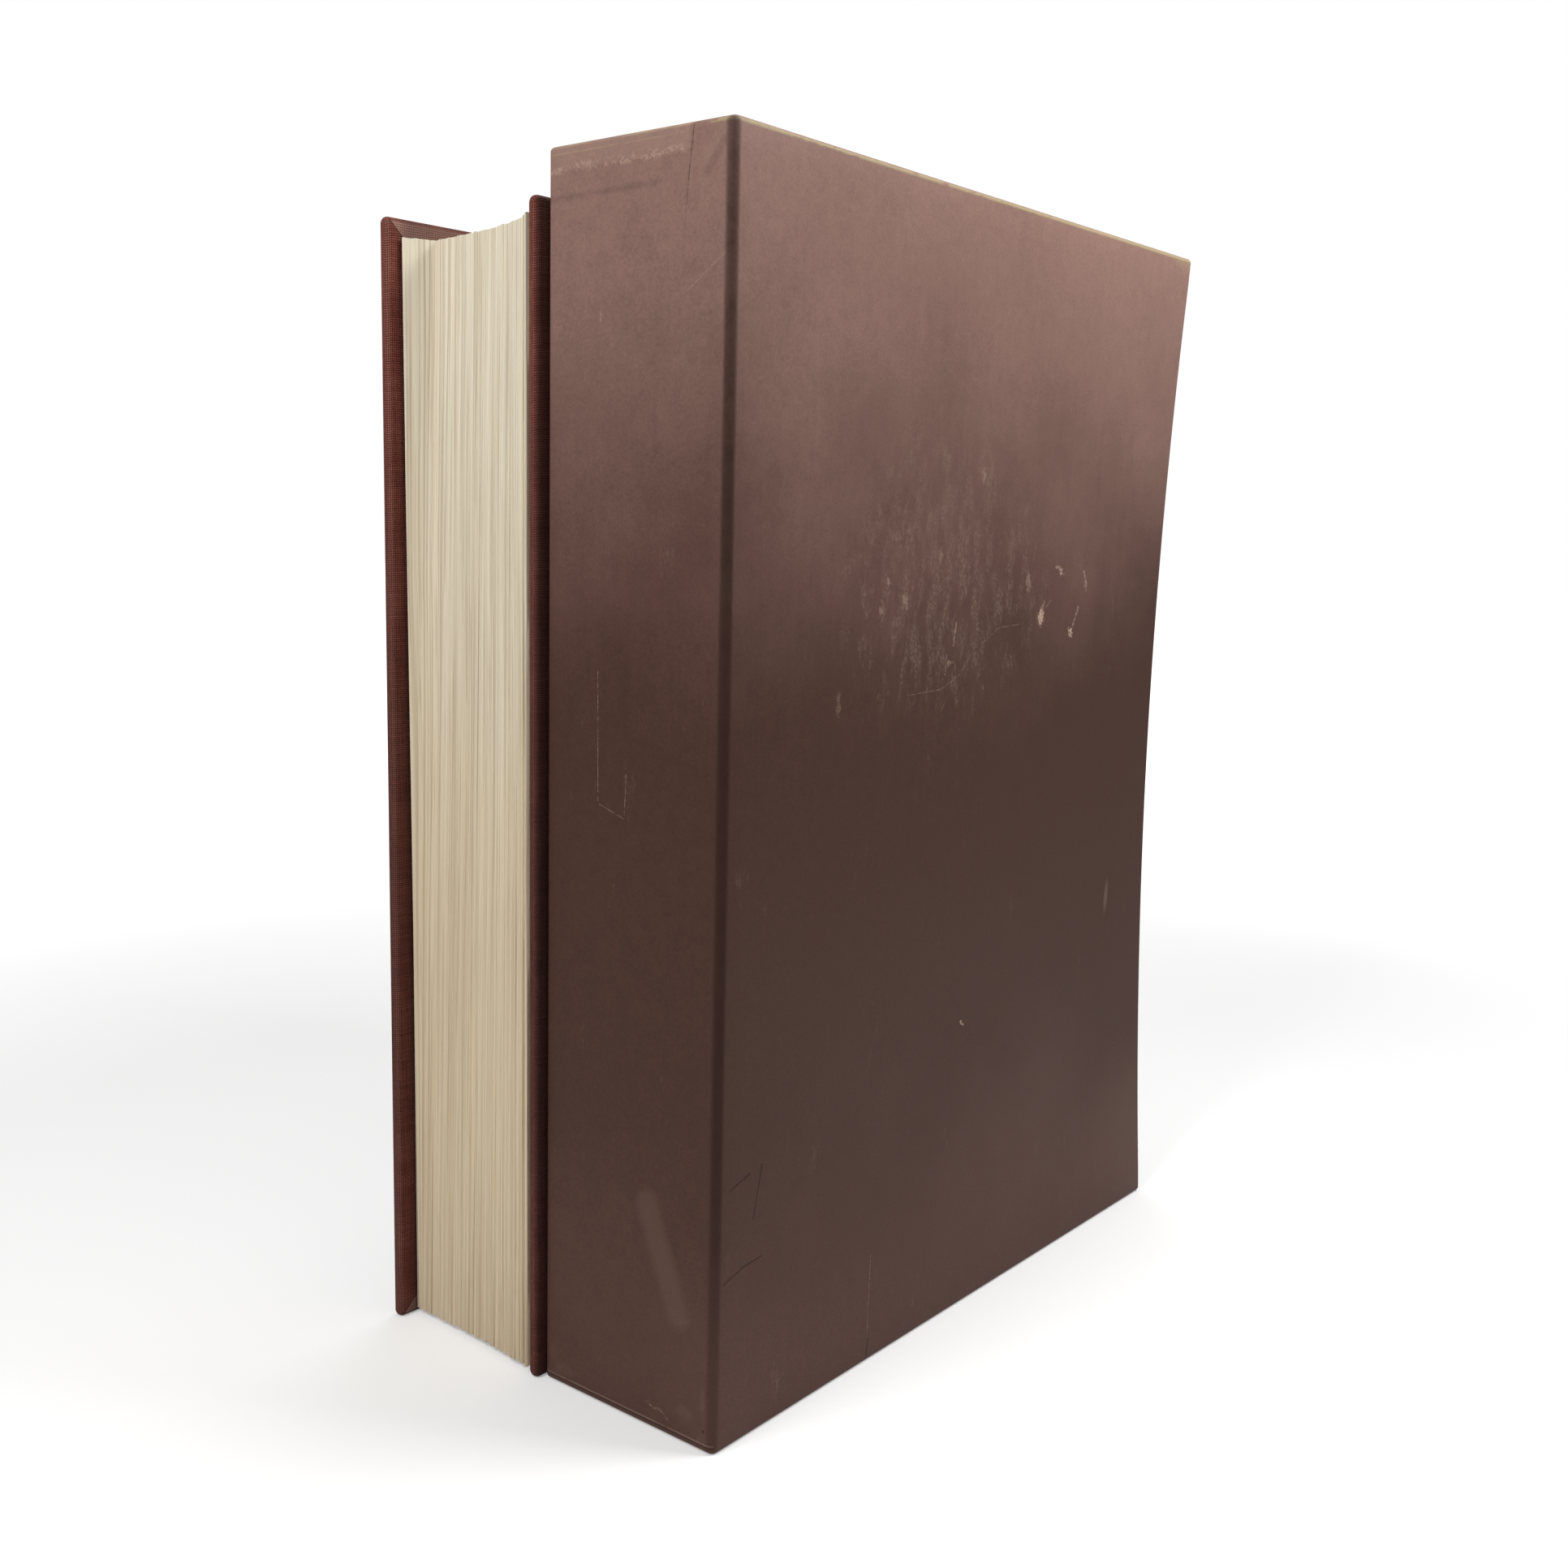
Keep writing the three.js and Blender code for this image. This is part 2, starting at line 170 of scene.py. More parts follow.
class Shader:
    """One procedural material, built on a Principled BSDF."""

    def __init__(self, name, roughness, specular=0.5):
        self.material = bpy.data.materials.new(name)
        self.material.use_nodes = True
        self.tree = self.material.node_tree
        self.principled = next(n for n in self.tree.nodes if n.type == "BSDF_PRINCIPLED")
        self.principled.inputs["Roughness"].default_value = roughness
        self.principled.inputs["Specular IOR Level"].default_value = specular

    def place(self):
        """The place on the piece, in millimetres."""
        node = self.tree.nodes.new("ShaderNodeTexCoord")
        scaled = self.tree.nodes.new("ShaderNodeVectorMath")
        scaled.operation = "SCALE"
        scaled.inputs["Scale"].default_value = 1 / MM
        self.tree.links.new(node.outputs["Object"], scaled.inputs[0])
        return scaled.outputs[0]

    def stored(self, attribute):
        """A vector that the piece's mesh stores."""
        node = self.tree.nodes.new("ShaderNodeAttribute")
        node.attribute_name = attribute
        return node.outputs["Vector"]

    def split(self, vector):
        node = self.tree.nodes.new("ShaderNodeSeparateXYZ")
        self.tree.links.new(vector, node.inputs[0])
        return [Value(self.tree, node.outputs[i]) for i in range(3)]

    def join(self, *parts):
        node = self.tree.nodes.new("ShaderNodeCombineXYZ")
        for slot, part in zip(node.inputs, parts):
            if isinstance(part, Value):
                self.tree.links.new(part.socket, slot)
            else:
                slot.default_value = part
        return node.outputs[0]

    def noise(self, vector, scale=1.0, detail=2.0, roughness=0.5, stretch=(1, 1, 1), shift=0.0):
        mapping = self.tree.nodes.new("ShaderNodeMapping")
        mapping.inputs["Scale"].default_value = [scale * s for s in stretch]
        mapping.inputs["Location"].default_value = [shift * s for s in SHIFT_SPREAD]
        self.tree.links.new(vector, mapping.inputs["Vector"])
        node = self.tree.nodes.new("ShaderNodeTexNoise")
        node.inputs["Scale"].default_value = 1.0
        node.inputs["Detail"].default_value = detail
        node.inputs["Roughness"].default_value = roughness
        self.tree.links.new(mapping.outputs[0], node.inputs["Vector"])
        return Value(self.tree, node.outputs["Fac"])

    def mix(self, factor, first, second):
        node = self.tree.nodes.new("ShaderNodeMix")
        node.data_type = "RGBA"
        self.tree.links.new(factor.socket, node.inputs["Factor"])
        for index, colour in ((MIX_FIRST, first), (MIX_SECOND, second)):
            if isinstance(colour, tuple):
                node.inputs[index].default_value = (*colour, 1)
            else:
                self.tree.links.new(colour, node.inputs[index])
        return node.outputs[MIX_RESULT]

    def scale_colour(self, colour, factor):
        node = self.tree.nodes.new("ShaderNodeVectorMath")
        node.operation = "SCALE"
        self.tree.links.new(colour, node.inputs[0])
        self.tree.links.new(factor.socket, node.inputs["Scale"])
        return node.outputs[0]

    def paint(self, colour):
        self.tree.links.new(colour, self.principled.inputs["Base Color"])

    def rough(self, value):
        self.tree.links.new(value.socket, self.principled.inputs["Roughness"])

    def bump(self, height, distance_mm, strength):
        node = self.tree.nodes.new("ShaderNodeBump")
        node.inputs["Distance"].default_value = distance_mm * MM
        node.inputs["Strength"].default_value = strength
        self.tree.links.new(height.socket, node.inputs["Height"])
        self.tree.links.new(node.outputs[0], self.principled.inputs["Normal"])

    def near_line(self, u, v, points, width, soft):
        """1 on a mark through points, falling to 0 over soft times its width past its edge."""
        pairs = zip(points, points[1:])
        distances = [self.from_segment(u, v, start, end) for start, end in pairs]
        return strongest([d.ramp(width * (0.5 + soft), width * 0.5) for d in distances])

    def from_segment(self, u, v, start, end):
        """The distance from a straight stretch between two points."""
        length = math.hypot(end[0] - start[0], end[1] - start[1])
        step_u, step_v = (end[0] - start[0]) / length, (end[1] - start[1]) / length
        du, dv = u - start[0], v - start[1]
        foot = (du * step_u + dv * step_v).max(0.0).min(length)
        off_u, off_v = du - foot * step_u, dv - foot * step_v
        return (off_u * off_u + off_v * off_v).power(0.5)

    def spot(self, u, v, centre, half_width, half_height):
        """1 in the middle of a soft oval, falling to 0 at its edge."""
        du = (u - centre[0]) / half_width
        dv = (v - centre[1]) / half_height
        return (du * du + dv * dv).power(0.5).ramp(1.0, 0.2)


# Book cloth: a plain weave of rust-brown threads
THREAD_MM = 0.5
THREAD_WANDER_MM = (0.25, 0.2)
SLUB_THICK = 1.6
SLUB_LONG = 0.06
CLOTH_COLOUR = (0.205, 0.041, 0.023)
# A dark colour painted as shade between the threads, and a pale one painted as highlight on the thread
# crowns, also used for worn threads
CLOTH_SHADE = (0.050, 0.010, 0.006)
CLOTH_HIGHLIGHT_AND_WORN = (0.42, 0.235, 0.190)
TURN_IN_MM = 16.0
# The cloth's tone in the middle of its height, below the painted light at the head and the foot
CLOTH_FOOT_TONE = 0.58


def weave(cloth, place):
    """The height of the threads, from 0 between them to 1 at a crossing."""
    wander = cloth.noise(place, scale=0.35, detail=1.0) - 0.5
    u, v, _ = cloth.split(place)
    turn = math.pi / THREAD_MM
    across = ((u + wander * THREAD_WANDER_MM[0]) * turn).sin()
    along = ((v + wander * THREAD_WANDER_MM[1]) * turn).sin()
    crossing = across * along * 0.5
    return (across.abs() * 0.5 + crossing).max(along.abs() * 0.5 - crossing)


def cloth_shade(cloth, on_inside, from_fore):
    """The cloth's brightness: paler at the head, partly fade and partly painted light from above; a little
    paler at the foot, painted light from the floor; painted shade beside the leaves and the slipcase.
    """
    z = cloth.split(cloth.place())[2]
    # Paler at the head, partly fade and partly painted light from above, and paler at the foot, painted
    # light from the floor
    faded_and_lit = z.ramp(110.0, 262.0) * 0.42 + z.ramp(70.0, 5.0) * 0.16 + CLOTH_FOOT_TONE
    # Painted shade on the front cover's inner face beside the leaves, and on the back cover's outer side in
    # the gap by the slipcase
    shade_beside_block = on_inside * from_fore.ramp(1.5, 6.5) * -0.45 + 1.0
    shade_beside_case = cloth.split(cloth.stored("shade_beside_case"))[0] * -0.60 + 1.0
    return faded_and_lit * shade_beside_block * shade_beside_case


def make_cloth():
    cloth = Shader("book_cloth", roughness=0.7, specular=0.25)
    place = cloth.stored("cloth_mm")
    height = weave(cloth, place)
    slub = cloth.noise(place, detail=1.0, stretch=(SLUB_THICK, SLUB_LONG, 1))
    slub_across = cloth.noise(place, detail=1.0, stretch=(SLUB_LONG, SLUB_THICK, 1), shift=9.0)
    wear = cloth.noise(place, scale=0.10, detail=4.0, roughness=0.6, shift=4.0)

    from_fore, from_end, depth = cloth.split(cloth.stored("turn_mm"))
    on_inside = depth.ramp(0.9, 0.5)
    on_turn_in = on_inside * from_fore.ramp(0.3, 1.0)
    from_mitre = from_fore - from_end
    fold = from_mitre.abs().ramp(0.35, 0.0) * on_turn_in * from_fore.ramp(TURN_IN_MM, TURN_IN_MM - 1)
    end_turn_in = from_mitre.ramp(0.0, 0.3) * on_turn_in * from_end.ramp(TURN_IN_MM, TURN_IN_MM - 1)

    # The thread crowns get a painted highlight and the hollows between threads get painted shade; slubs and
    # wear vary both
    light = height * 0.9 + (slub - 0.5) * 0.30 + (slub_across - 0.5) * 0.30 + (wear - 0.5) * 0.45
    body = cloth.mix(light.ramp(0.08, 0.62), CLOTH_SHADE, CLOTH_COLOUR)
    body = cloth.mix(light.ramp(0.66, 1.0) * 0.6, body, CLOTH_HIGHLIGHT_AND_WORN)
    # Paler thread crowns along the rounded fore-edge corner: wear and a painted sheen
    worn_corner_and_sheen = depth.ramp(1.3, 0.4) * from_fore.ramp(1.2, 0.3) * from_fore.ramp(0.0, 0.05)
    body = cloth.mix(worn_corner_and_sheen * height.ramp(0.2, 0.8) * 0.30, body, CLOTH_HIGHLIGHT_AND_WORN)
    worn_weft = end_turn_in * from_end.ramp(0.7, 1.1) * height.ramp(0.1, 0.5) * 0.8
    body = cloth.mix(worn_weft, body, CLOTH_HIGHLIGHT_AND_WORN)
    shade = cloth_shade(cloth, on_inside, from_fore)
    cloth.paint(cloth.scale_colour(body, (fold * -0.6 + 1.0) * shade))
    cloth.bump(height + slub * 0.4 - fold * 1.5, distance_mm=0.16, strength=0.9)
    sheen = cloth.principled.inputs
    sheen["Sheen Weight"].default_value = 0.05
    sheen["Sheen Roughness"].default_value = 0.4
    return cloth.material


# Leaves: cream paper, yellower towards the foot, whose cut edges show as fine lines of painted shade
# between the leaves
PAPER_HEAD = (0.80, 0.73, 0.58)
PAPER_FOOT = (0.75, 0.63, 0.45)
# The colour of the painted shade between leaves and quires
PAPER_GAP_SHADE = (0.46, 0.345, 0.215)
LEAVES_ACROSS_MM = 43.0


def make_leaf_edges():
    leaves = Shader("leaf_edges", roughness=0.85, specular=0.2)
    across, along, _ = leaves.split(leaves.stored("leaf_mm"))
    slow = leaves.noise(leaves.join(along, across * 0.2, 0.0), scale=0.012, detail=1.0) * 1.2
    place = leaves.join(across + slow, along * 0.003, 0.0)
    wide = leaves.noise(place, scale=1.05, detail=1.0)
    fine = leaves.noise(place, scale=3.3, detail=2.0, roughness=0.6, shift=3.0)
    finest = leaves.noise(place, scale=4.4, detail=1.0, shift=8.0)
    broad = leaves.noise(place, scale=0.22, detail=2.0, shift=11.0)
    strength = leaves.noise(leaves.join(across, along * 0.02, 0.0), scale=0.6, detail=1.0, shift=5.0)
    # Dark lines between leaves and between quires: painted shade
    gap_shade = (wide - 0.5).abs().ramp(0.045, 0.018) * strength.ramp(0.36, 0.54)
    thin = (fine - 0.5).abs().ramp(0.055, 0.015) * 0.50
    lines = (gap_shade * 0.8).max(thin)
    body = leaves.mix((along + broad * 60 - 30).ramp(70.0, 230.0), PAPER_FOOT, PAPER_HEAD)
    lined = leaves.mix(lines * 0.68, body, PAPER_GAP_SHADE)
    # Painted shade on the front sheaf of leaves at the head, which stands forward of the rest
    first_sheaf_shade = across.ramp(39.3, 41.0) * along.ramp(175.0, 256.0)
    tone = finest * 0.24 + broad * 0.12 + 0.87
    leaves.paint(leaves.scale_colour(lined, tone - first_sheaf_shade * 0.10))
    leaves.bump(fine * 0.5 + finest * 0.3 - gap_shade * 0.6, distance_mm=0.12, strength=0.6)
    return leaves.material


# Endpapers: the same cream paper, mottled
ENDPAPER_DARK = (0.65, 0.575, 0.435)
ENDPAPER_PALE = (0.71, 0.64, 0.50)


def make_endpaper():
    paper = Shader("endpaper", roughness=0.8, specular=0.3)
    place = paper.place()
    mottle = paper.noise(place, scale=0.15, detail=5.0, roughness=0.6)
    fibre = paper.noise(place, scale=2.5, detail=3.0, shift=5.0)
    body = paper.mix(mottle.ramp(0.2, 0.8), ENDPAPER_DARK, ENDPAPER_PALE)
    paper.paint(paper.scale_colour(body, fibre * 0.14 + 0.93))
    paper.bump(fibre, distance_mm=0.03, strength=0.6)
    return paper.material


# Board, lining, mull and bands, which show only in other views. The tones are a dark and a pale one.
BOARD_TONES = ((0.14, 0.12, 0.095), (0.30, 0.265, 0.215))
LINING_TONES = ((0.30, 0.26, 0.20), (0.42, 0.37, 0.29))
MULL_TONES = ((0.5, 0.46, 0.38), (0.72, 0.68, 0.58))
BAND_CREAM = (0.62, 0.52, 0.34)
BAND_RED = (0.22, 0.06, 0.04)
BAND_STRIPE_MM = 1.6
BAND_THREAD_MM = 0.35


def make_grain(name, tones, scale, stretch=(1, 1, 1), roughness=0.9):
    grain = Shader(name, roughness=roughness, specular=0.2)
    place = grain.place()
    coarse = grain.noise(place, scale=scale, detail=4.0, stretch=stretch)
    fleck = grain.noise(place, scale=scale * 6, detail=2.0, stretch=stretch, shift=7.0)
    grain.paint(grain.mix((coarse * 0.6 + fleck * 0.4).ramp(0.3, 0.7), *tones))
    grain.bump(fleck, distance_mm=0.08, strength=0.7)
    return grain.material


def make_bands():
    band = Shader("band_thread", roughness=0.6)
    x, y, z = band.split(band.place())
    stripe = ((x + y) * (math.pi / BAND_STRIPE_MM)).sin()
    twist = ((x + y + z) * (math.pi / BAND_THREAD_MM)).sin()
    band.paint(band.mix(stripe.ramp(-0.2, 0.2), BAND_CREAM, BAND_RED))
    band.bump(twist, distance_mm=0.12, strength=0.8)
    return band.material


# Slipcase paper: semi-gloss brown, paler at the head, partly rubbed and faded and partly painted light from
# above
CASE_HEAD = (0.305, 0.178, 0.146)
CASE_MIDDLE = (0.076, 0.034, 0.024)
# The foot's colour, paler than the middle, is a painted reflection of the pale floor
CASE_FOOT = (0.112, 0.053, 0.041)
# Pale colour for scuffs and smudges, also used for painted light: the floor's reflection, the fold's sheen
# and the lip's highlight
CASE_SCUFF_AND_PAINTED_LIGHT = (0.30, 0.20, 0.155)
CASE_CHIP = (0.56, 0.39, 0.30)
# Pale olive for rubbed edges, also painted as a highlight along the big side's head edge
CASE_RUBBED_EDGE_HIGHLIGHT = (0.44, 0.36, 0.20)
# Dark colour for cuts, the seam and the pit, also used for the painted shade line over the foot's lip
CASE_CUT_AND_SHADE = (0.020, 0.012, 0.010)
# Dark colour of the painted shade along the near upright corner
CASE_CORNER_SHADE = (0.030, 0.010, 0.007)

# Marks on the big side, as points (y, z) in millimetres
SIDE_CUTS = (
    ((-84.9, 59.0), (-91.3, 57.0)),
    ((-80.9, 59.9), (-83.5, 48.5)),
    ((-80.5, 39.5), (-86.4, 39.0), (-92.8, 37.2)),
    ((-40.6, 6.0), (-41.4, 0.8)),
)
# width, points
SIDE_SCRATCHES = (
    (0.13, (-32.3, 155.3), (-18.4, 155.8), (-10.5, 158.6), (-5.5, 163.2)),
    (0.13, (-0.2, 165.9), (7.0, 169.2)),
    (0.12, (7.0, 169.2), (17.2, 169.8)),
    (0.13, (-21.7, 171.2), (-22.8, 167.6)),
    (0.13, (-40.3, 26.0), (-41.0, 6.0)),
    (0.50, (47.4, 173.2), (43.9, 166.8)),
    (0.38, (-12.7, 170.9), (-13.4, 165.8)),
    (0.40, (49.3, 182.6), (51.3, 178.6)),
    (0.55, (28.8, 175.0), (27.3, 170.6)),
    (0.20, (29.0, 173.0), (32.3, 175.3)),
    (0.50, (34.1, 183.7), (36.2, 183.5)),
    (0.45, (36.2, 183.5), (37.5, 182.0)),
    (0.25, (-16.2, 163.6), (-16.8, 159.2)),
)
# centre, half width, half height, strength
SIDE_CHIPS = (
    ((27.6, 171.2), 2.6, 3.2, 1.0),
    ((43.7, 166.9), 1.7, 1.8, 1.0),
    ((37.0, 182.4), 1.5, 1.4, 1.0),
    ((50.8, 179.4), 1.0, 2.4, 0.35),
    ((-14.8, 161.7), 2.2, 1.2, 0.30),
    ((-34.1, 176.4), 1.3, 2.6, 0.28),
    ((-58.2, 155.0), 1.2, 4.5, 0.18),
    ((-43.6, 174.2), 1.2, 1.2, 0.22),
    ((-41.2, 180.7), 1.3, 0.9, 0.35),
    ((-3.2, 204.8), 1.1, 2.6, 0.25),
    ((20.2, 180.0), 1.5, 3.4, 0.28),
    ((-20.5, 186.4), 1.2, 3.2, 0.22),
    ((-3.6, 73.2), 0.9, 0.6, 0.7),
)
CHIP_WARP_MM = 4.0
# centre, half width, half height
SCUFFED_OVAL = ((-16.0, 182.0), 64.0, 46.0)
# A painted reflection of the pale floor, low on the big side by the mouth
SIDE_FLOOR_REFLECTION = ((92.0, 22.0), 30.0, 34.0)
# The smear leans, so its centre is given as (y - slope * z, z)
SIDE_SMEAR_SLOPE = 0.12
SIDE_SMEAR = ((61.3, 92.5), 1.6, 6.5)

# Marks on the narrow closed side, as points (x, z) in millimetres
BACK_SEAM = ((40.4, 266.4), (39.2, 257.6), (38.4, 249.5), (37.6, 241.7))
# width, points
BACK_SCRATCHES = (
    (0.14, (48.8, 242.4), (39.1, 236.0)),
    (0.13, (15.5, 162.0), (15.7, 134.5)),
    (0.13, (23.9, 141.0), (23.4, 132.4)),
    (0.13, (16.2, 133.8), (23.2, 131.6)),
    (0.25, (31.5, 5.9), (33.3, 5.0)),
    (0.30, (33.3, 5.0), (35.2, 5.4)),
    (0.25, (35.2, 5.4), (37.5, 3.9)),
    (0.35, (15.7, 233.5), (15.9, 231.8)),
)
# centre, half width, half height, strength
BACK_SMUDGES = (
    ((42.4, 7.2), 3.2, 2.4, 0.13),
    ((47.4, 12.0), 1.0, 6.0, 0.13),
    ((46.5, 3.0), 3.0, 2.0, 0.12),
    ((33.0, 8.0), 3.6, 1.3, 0.08),
    ((6.0, 4.2), 7.0, 1.8, 0.10),
    ((2.2, 7.0), 1.8, 3.0, 0.08),
    ((48.4, 236.8), 0.8, 2.6, 0.20),
    ((47.9, 231.8), 0.9, 3.4, 0.13),
)
# points, width
# A fold on the narrow side, painted paler along its ridge as sheen
BACK_FOLD_SHEEN = (((43.4, 259.4), (47.4, 264.2)), 1.5)
BACK_FOLD_SHADOW = (((43.6, 257.2), (48.0, 262.4)), 0.8)
BACK_FOOT_SMEAR = (((31.1, 50.0), (40.0, 28.4)), 3.0)
# centre, half width, half height
BACK_PIT = ((47.7, 4.9), 0.5, 0.5)


class CasePaper(Shader):
    """The slipcase's paper, with masks for its marks on the big side and on the narrow closed side."""

    def __init__(self):
        super().__init__("case_paper", roughness=0.5, specular=0.18)
        low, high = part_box("slipcase_wrap")
        self.top = high.z / MM
        self.mouth = high.y / MM
        self.corner_line = (high.x - low.y) / MM
        self.where = self.place()
        self.x, self.y, self.z = self.split(self.where)
        self.on_side = self.x.ramp(high.x / MM - 6.5, high.x / MM - 5.5)
        self.on_back = self.y.ramp(low.y / MM + 1.0, low.y / MM + 0.5)
        self.cloud = self.grain(0.018, 3.0, roughness=0.6)
        self.mottle = self.grain(0.30, 5.0, roughness=0.65, shift=3.0)
        self.fleck = self.grain(1.9, 3.0, roughness=0.7, shift=8.0)
        self.edge_wear = self.grain(0.16, 4.0, roughness=0.7, stretch=(1, 1, 4), shift=15.0)
        self.torn = self.grain(1.5, 5.0, roughness=0.8, shift=18.0)
        self.scratch_grain = self.torn.ramp(0.40, 0.60)

    def grain(self, scale, detail, **shape):
        return self.noise(self.where, scale=scale, detail=detail, **shape)

    def near_height(self, height, reach, full=0.0):
        """1 at a height in millimetres, falling to 0 at its reach above and below."""
        return (self.z - height).abs().ramp(reach, full)

    def plain(self):
        """The colour without marks: palest at the head, partly fade and partly painted light; darkest in
        the middle; paler at the foot, a painted reflection of the floor.
        """
        streak = self.grain(0.5, 3.0, stretch=(1, 1, 0.06), shift=5.0)
        height = self.z + (self.cloud - 0.5) * 70 + (streak - 0.5) * 5
        body = self.mix(height.ramp(75.0, 5.0), CASE_MIDDLE, CASE_FOOT)
        body = self.mix(height.ramp(140.0, self.top + 8), body, CASE_HEAD)
        tone = self.mottle * 0.34 + self.fleck * 0.60 + streak * 0.06 + 0.50
        # The narrow side's upper part is darkened a little: painted shade
        return self.scale_colour(body, tone - self.z.ramp(170.0, 240.0) * self.on_back * 0.09)

    def scuffs(self):
        """Fine scuffs, close together in the middle of the big side and few elsewhere."""
        ground = self.spot(self.y, self.z, *SCUFFED_OVAL)
        cluster = self.grain(0.26, 4.0, roughness=0.7, stretch=(1, 1, 0.42), shift=12.0)
        stray = self.grain(0.10, 5.0, roughness=0.8, stretch=(1, 1, 0.35), shift=31.0)
        speckle = self.grain(1.7, 4.0, roughness=0.8, stretch=(1, 1, 0.7), shift=23.0)
        close = (cluster + ground * 0.12).ramp(0.52, 0.76) * ground.ramp(0.0, 0.5) * self.on_side
        return close.max(stray.ramp(0.60, 0.75) * 0.6) * speckle.ramp(0.40, 0.66)

    def soft_marks_and_reflection(self):
        """Smears and smudges without a hard edge, and a painted reflection of the floor low on the big side
        by the mouth.
        """
        smear = self.spot(self.y - self.z * SIDE_SMEAR_SLOPE, self.z, *SIDE_SMEAR) * self.on_side
        # Painted reflection of the floor
        glow = self.spot(self.y, self.z, *SIDE_FLOOR_REFLECTION) * self.on_side
        foot_smear = self.near_line(self.x, self.z, *BACK_FOOT_SMEAR, soft=1.0) * self.on_back
        marks = [smear * 0.35, glow * 0.06, foot_smear * 0.13]
        for centre, half_width, half_height, strength in BACK_SMUDGES:
            smudge = self.spot(self.x, self.z, centre, half_width, half_height) * self.on_back
            marks.append(smudge * self.mottle.ramp(0.35, 0.6) * strength)
        return strongest(marks)

    def head_band(self):
        """The pale strip and its row of specks under the head of the narrow side."""
        top, x, z = self.top, self.x, self.z
        band = z.ramp(top - 5.6, top - 4.9) * x.ramp(39.6, 38.8)
        row = z.ramp(top - 6.2, top - 5.3) * z.ramp(top - 3.4, top - 4.6) * x.ramp(39.0, 37.0)
        specks = (self.fleck * 0.45 + self.mottle * 0.55).ramp(0.46, 0.58) * row
        return (band * 0.14).max(specks * 0.50) * self.on_back

    def crease_shade(self):
        # Painted shade in a crease running under the narrow side's head
        level = (self.z + self.x * -0.012 + (10.7 - self.top)).abs()
        return level.ramp(1.2, 0.0) * self.x.ramp(37.0, 28.0) * self.on_back

    def rubbed_and_lit_edges(self):
        """Wear along the head edges of both sides and at the mouth's head corner, with a painted highlight
        along the big side's head edge.
        """
        side_wear = (self.edge_wear + self.y * 0.0008).ramp(0.30, 0.46)
        side = self.near_height(self.top - 0.8, 0.65, 0.1) * side_wear
        mouth = self.spot(self.y, self.z, (92.0, self.top - 1.2), 9.0, 3.4) * self.fleck.ramp(0.35, 0.6)
        lower_line = self.near_height(self.top - 2.0, 0.28, 0.05) * 0.7
        lines = self.near_height(self.top - 0.5, 0.5, 0.1).max(lower_line)
        back = lines * self.edge_wear.ramp(0.40, 0.56) * self.x.ramp(41.0, 39.0) * self.on_back
        return ((side * 0.8).max(mouth * 0.4) * self.on_side).max(back * 0.45)

    def bare_marks(self):
        """Chips and scratches that show the paper's core."""
        warp = self.grain(0.8, 3.0, roughness=0.7, shift=41.0) - 0.5
        torn_y, torn_z = self.y + warp * CHIP_WARP_MM, self.z - warp * CHIP_WARP_MM
        marks = []
        for centre, half_width, half_height, strength in SIDE_CHIPS:
            chip = self.spot(torn_y, torn_z, centre, half_width, half_height)
            ragged = (self.torn + chip * 0.18).ramp(0.54, 0.66) * chip.ramp(0.0, 0.5)
            marks.append(ragged * strength * self.on_side)
        for width, *points in SIDE_SCRATCHES:
            mark = self.near_line(self.y + warp * width, self.z, points, width, soft=0.6)
            marks.append(mark * self.scratch_grain * self.on_side * (0.24 + width * 0.9))
        for width, *points in BACK_SCRATCHES:
            mark = self.near_line(self.x, self.z, points, width, soft=0.6)
            marks.append(mark * self.scratch_grain * self.on_back * 0.36)
        return strongest(marks)

    def dents_and_lip_shade(self):
        """Cuts, the seam, a pit at the foot, and the line over the foot's lip, which is painted shade under
        the lip's edge.
        """
        # Painted shade under the lip's edge
        lip = self.near_height(1.6, 0.28) * 0.8
        pit = self.spot(self.x, self.z, *BACK_PIT)
        seam = self.near_line(self.x, self.z, BACK_SEAM, 0.14, soft=0.8)
        seam = seam * self.scratch_grain * self.z.ramp(242.0, 262.0)
        cuts = strongest([self.near_line(self.y, self.z, points, 0.20, soft=0.8) for points in SIDE_CUTS])
        return (strongest([lip, pit, seam]) * self.on_back).max(cuts * self.on_side)

    def near_corner_shade(self):
        """Painted shade along the rounded upright edge between the two sides, weaker towards the foot."""
        edge = (self.x - self.y).ramp(self.corner_line - 2.3, self.corner_line - 1.2)
        return edge * (self.mottle * 0.5 + 0.50) * (self.z.ramp(0.0, 70.0) * 0.55 + 0.45)


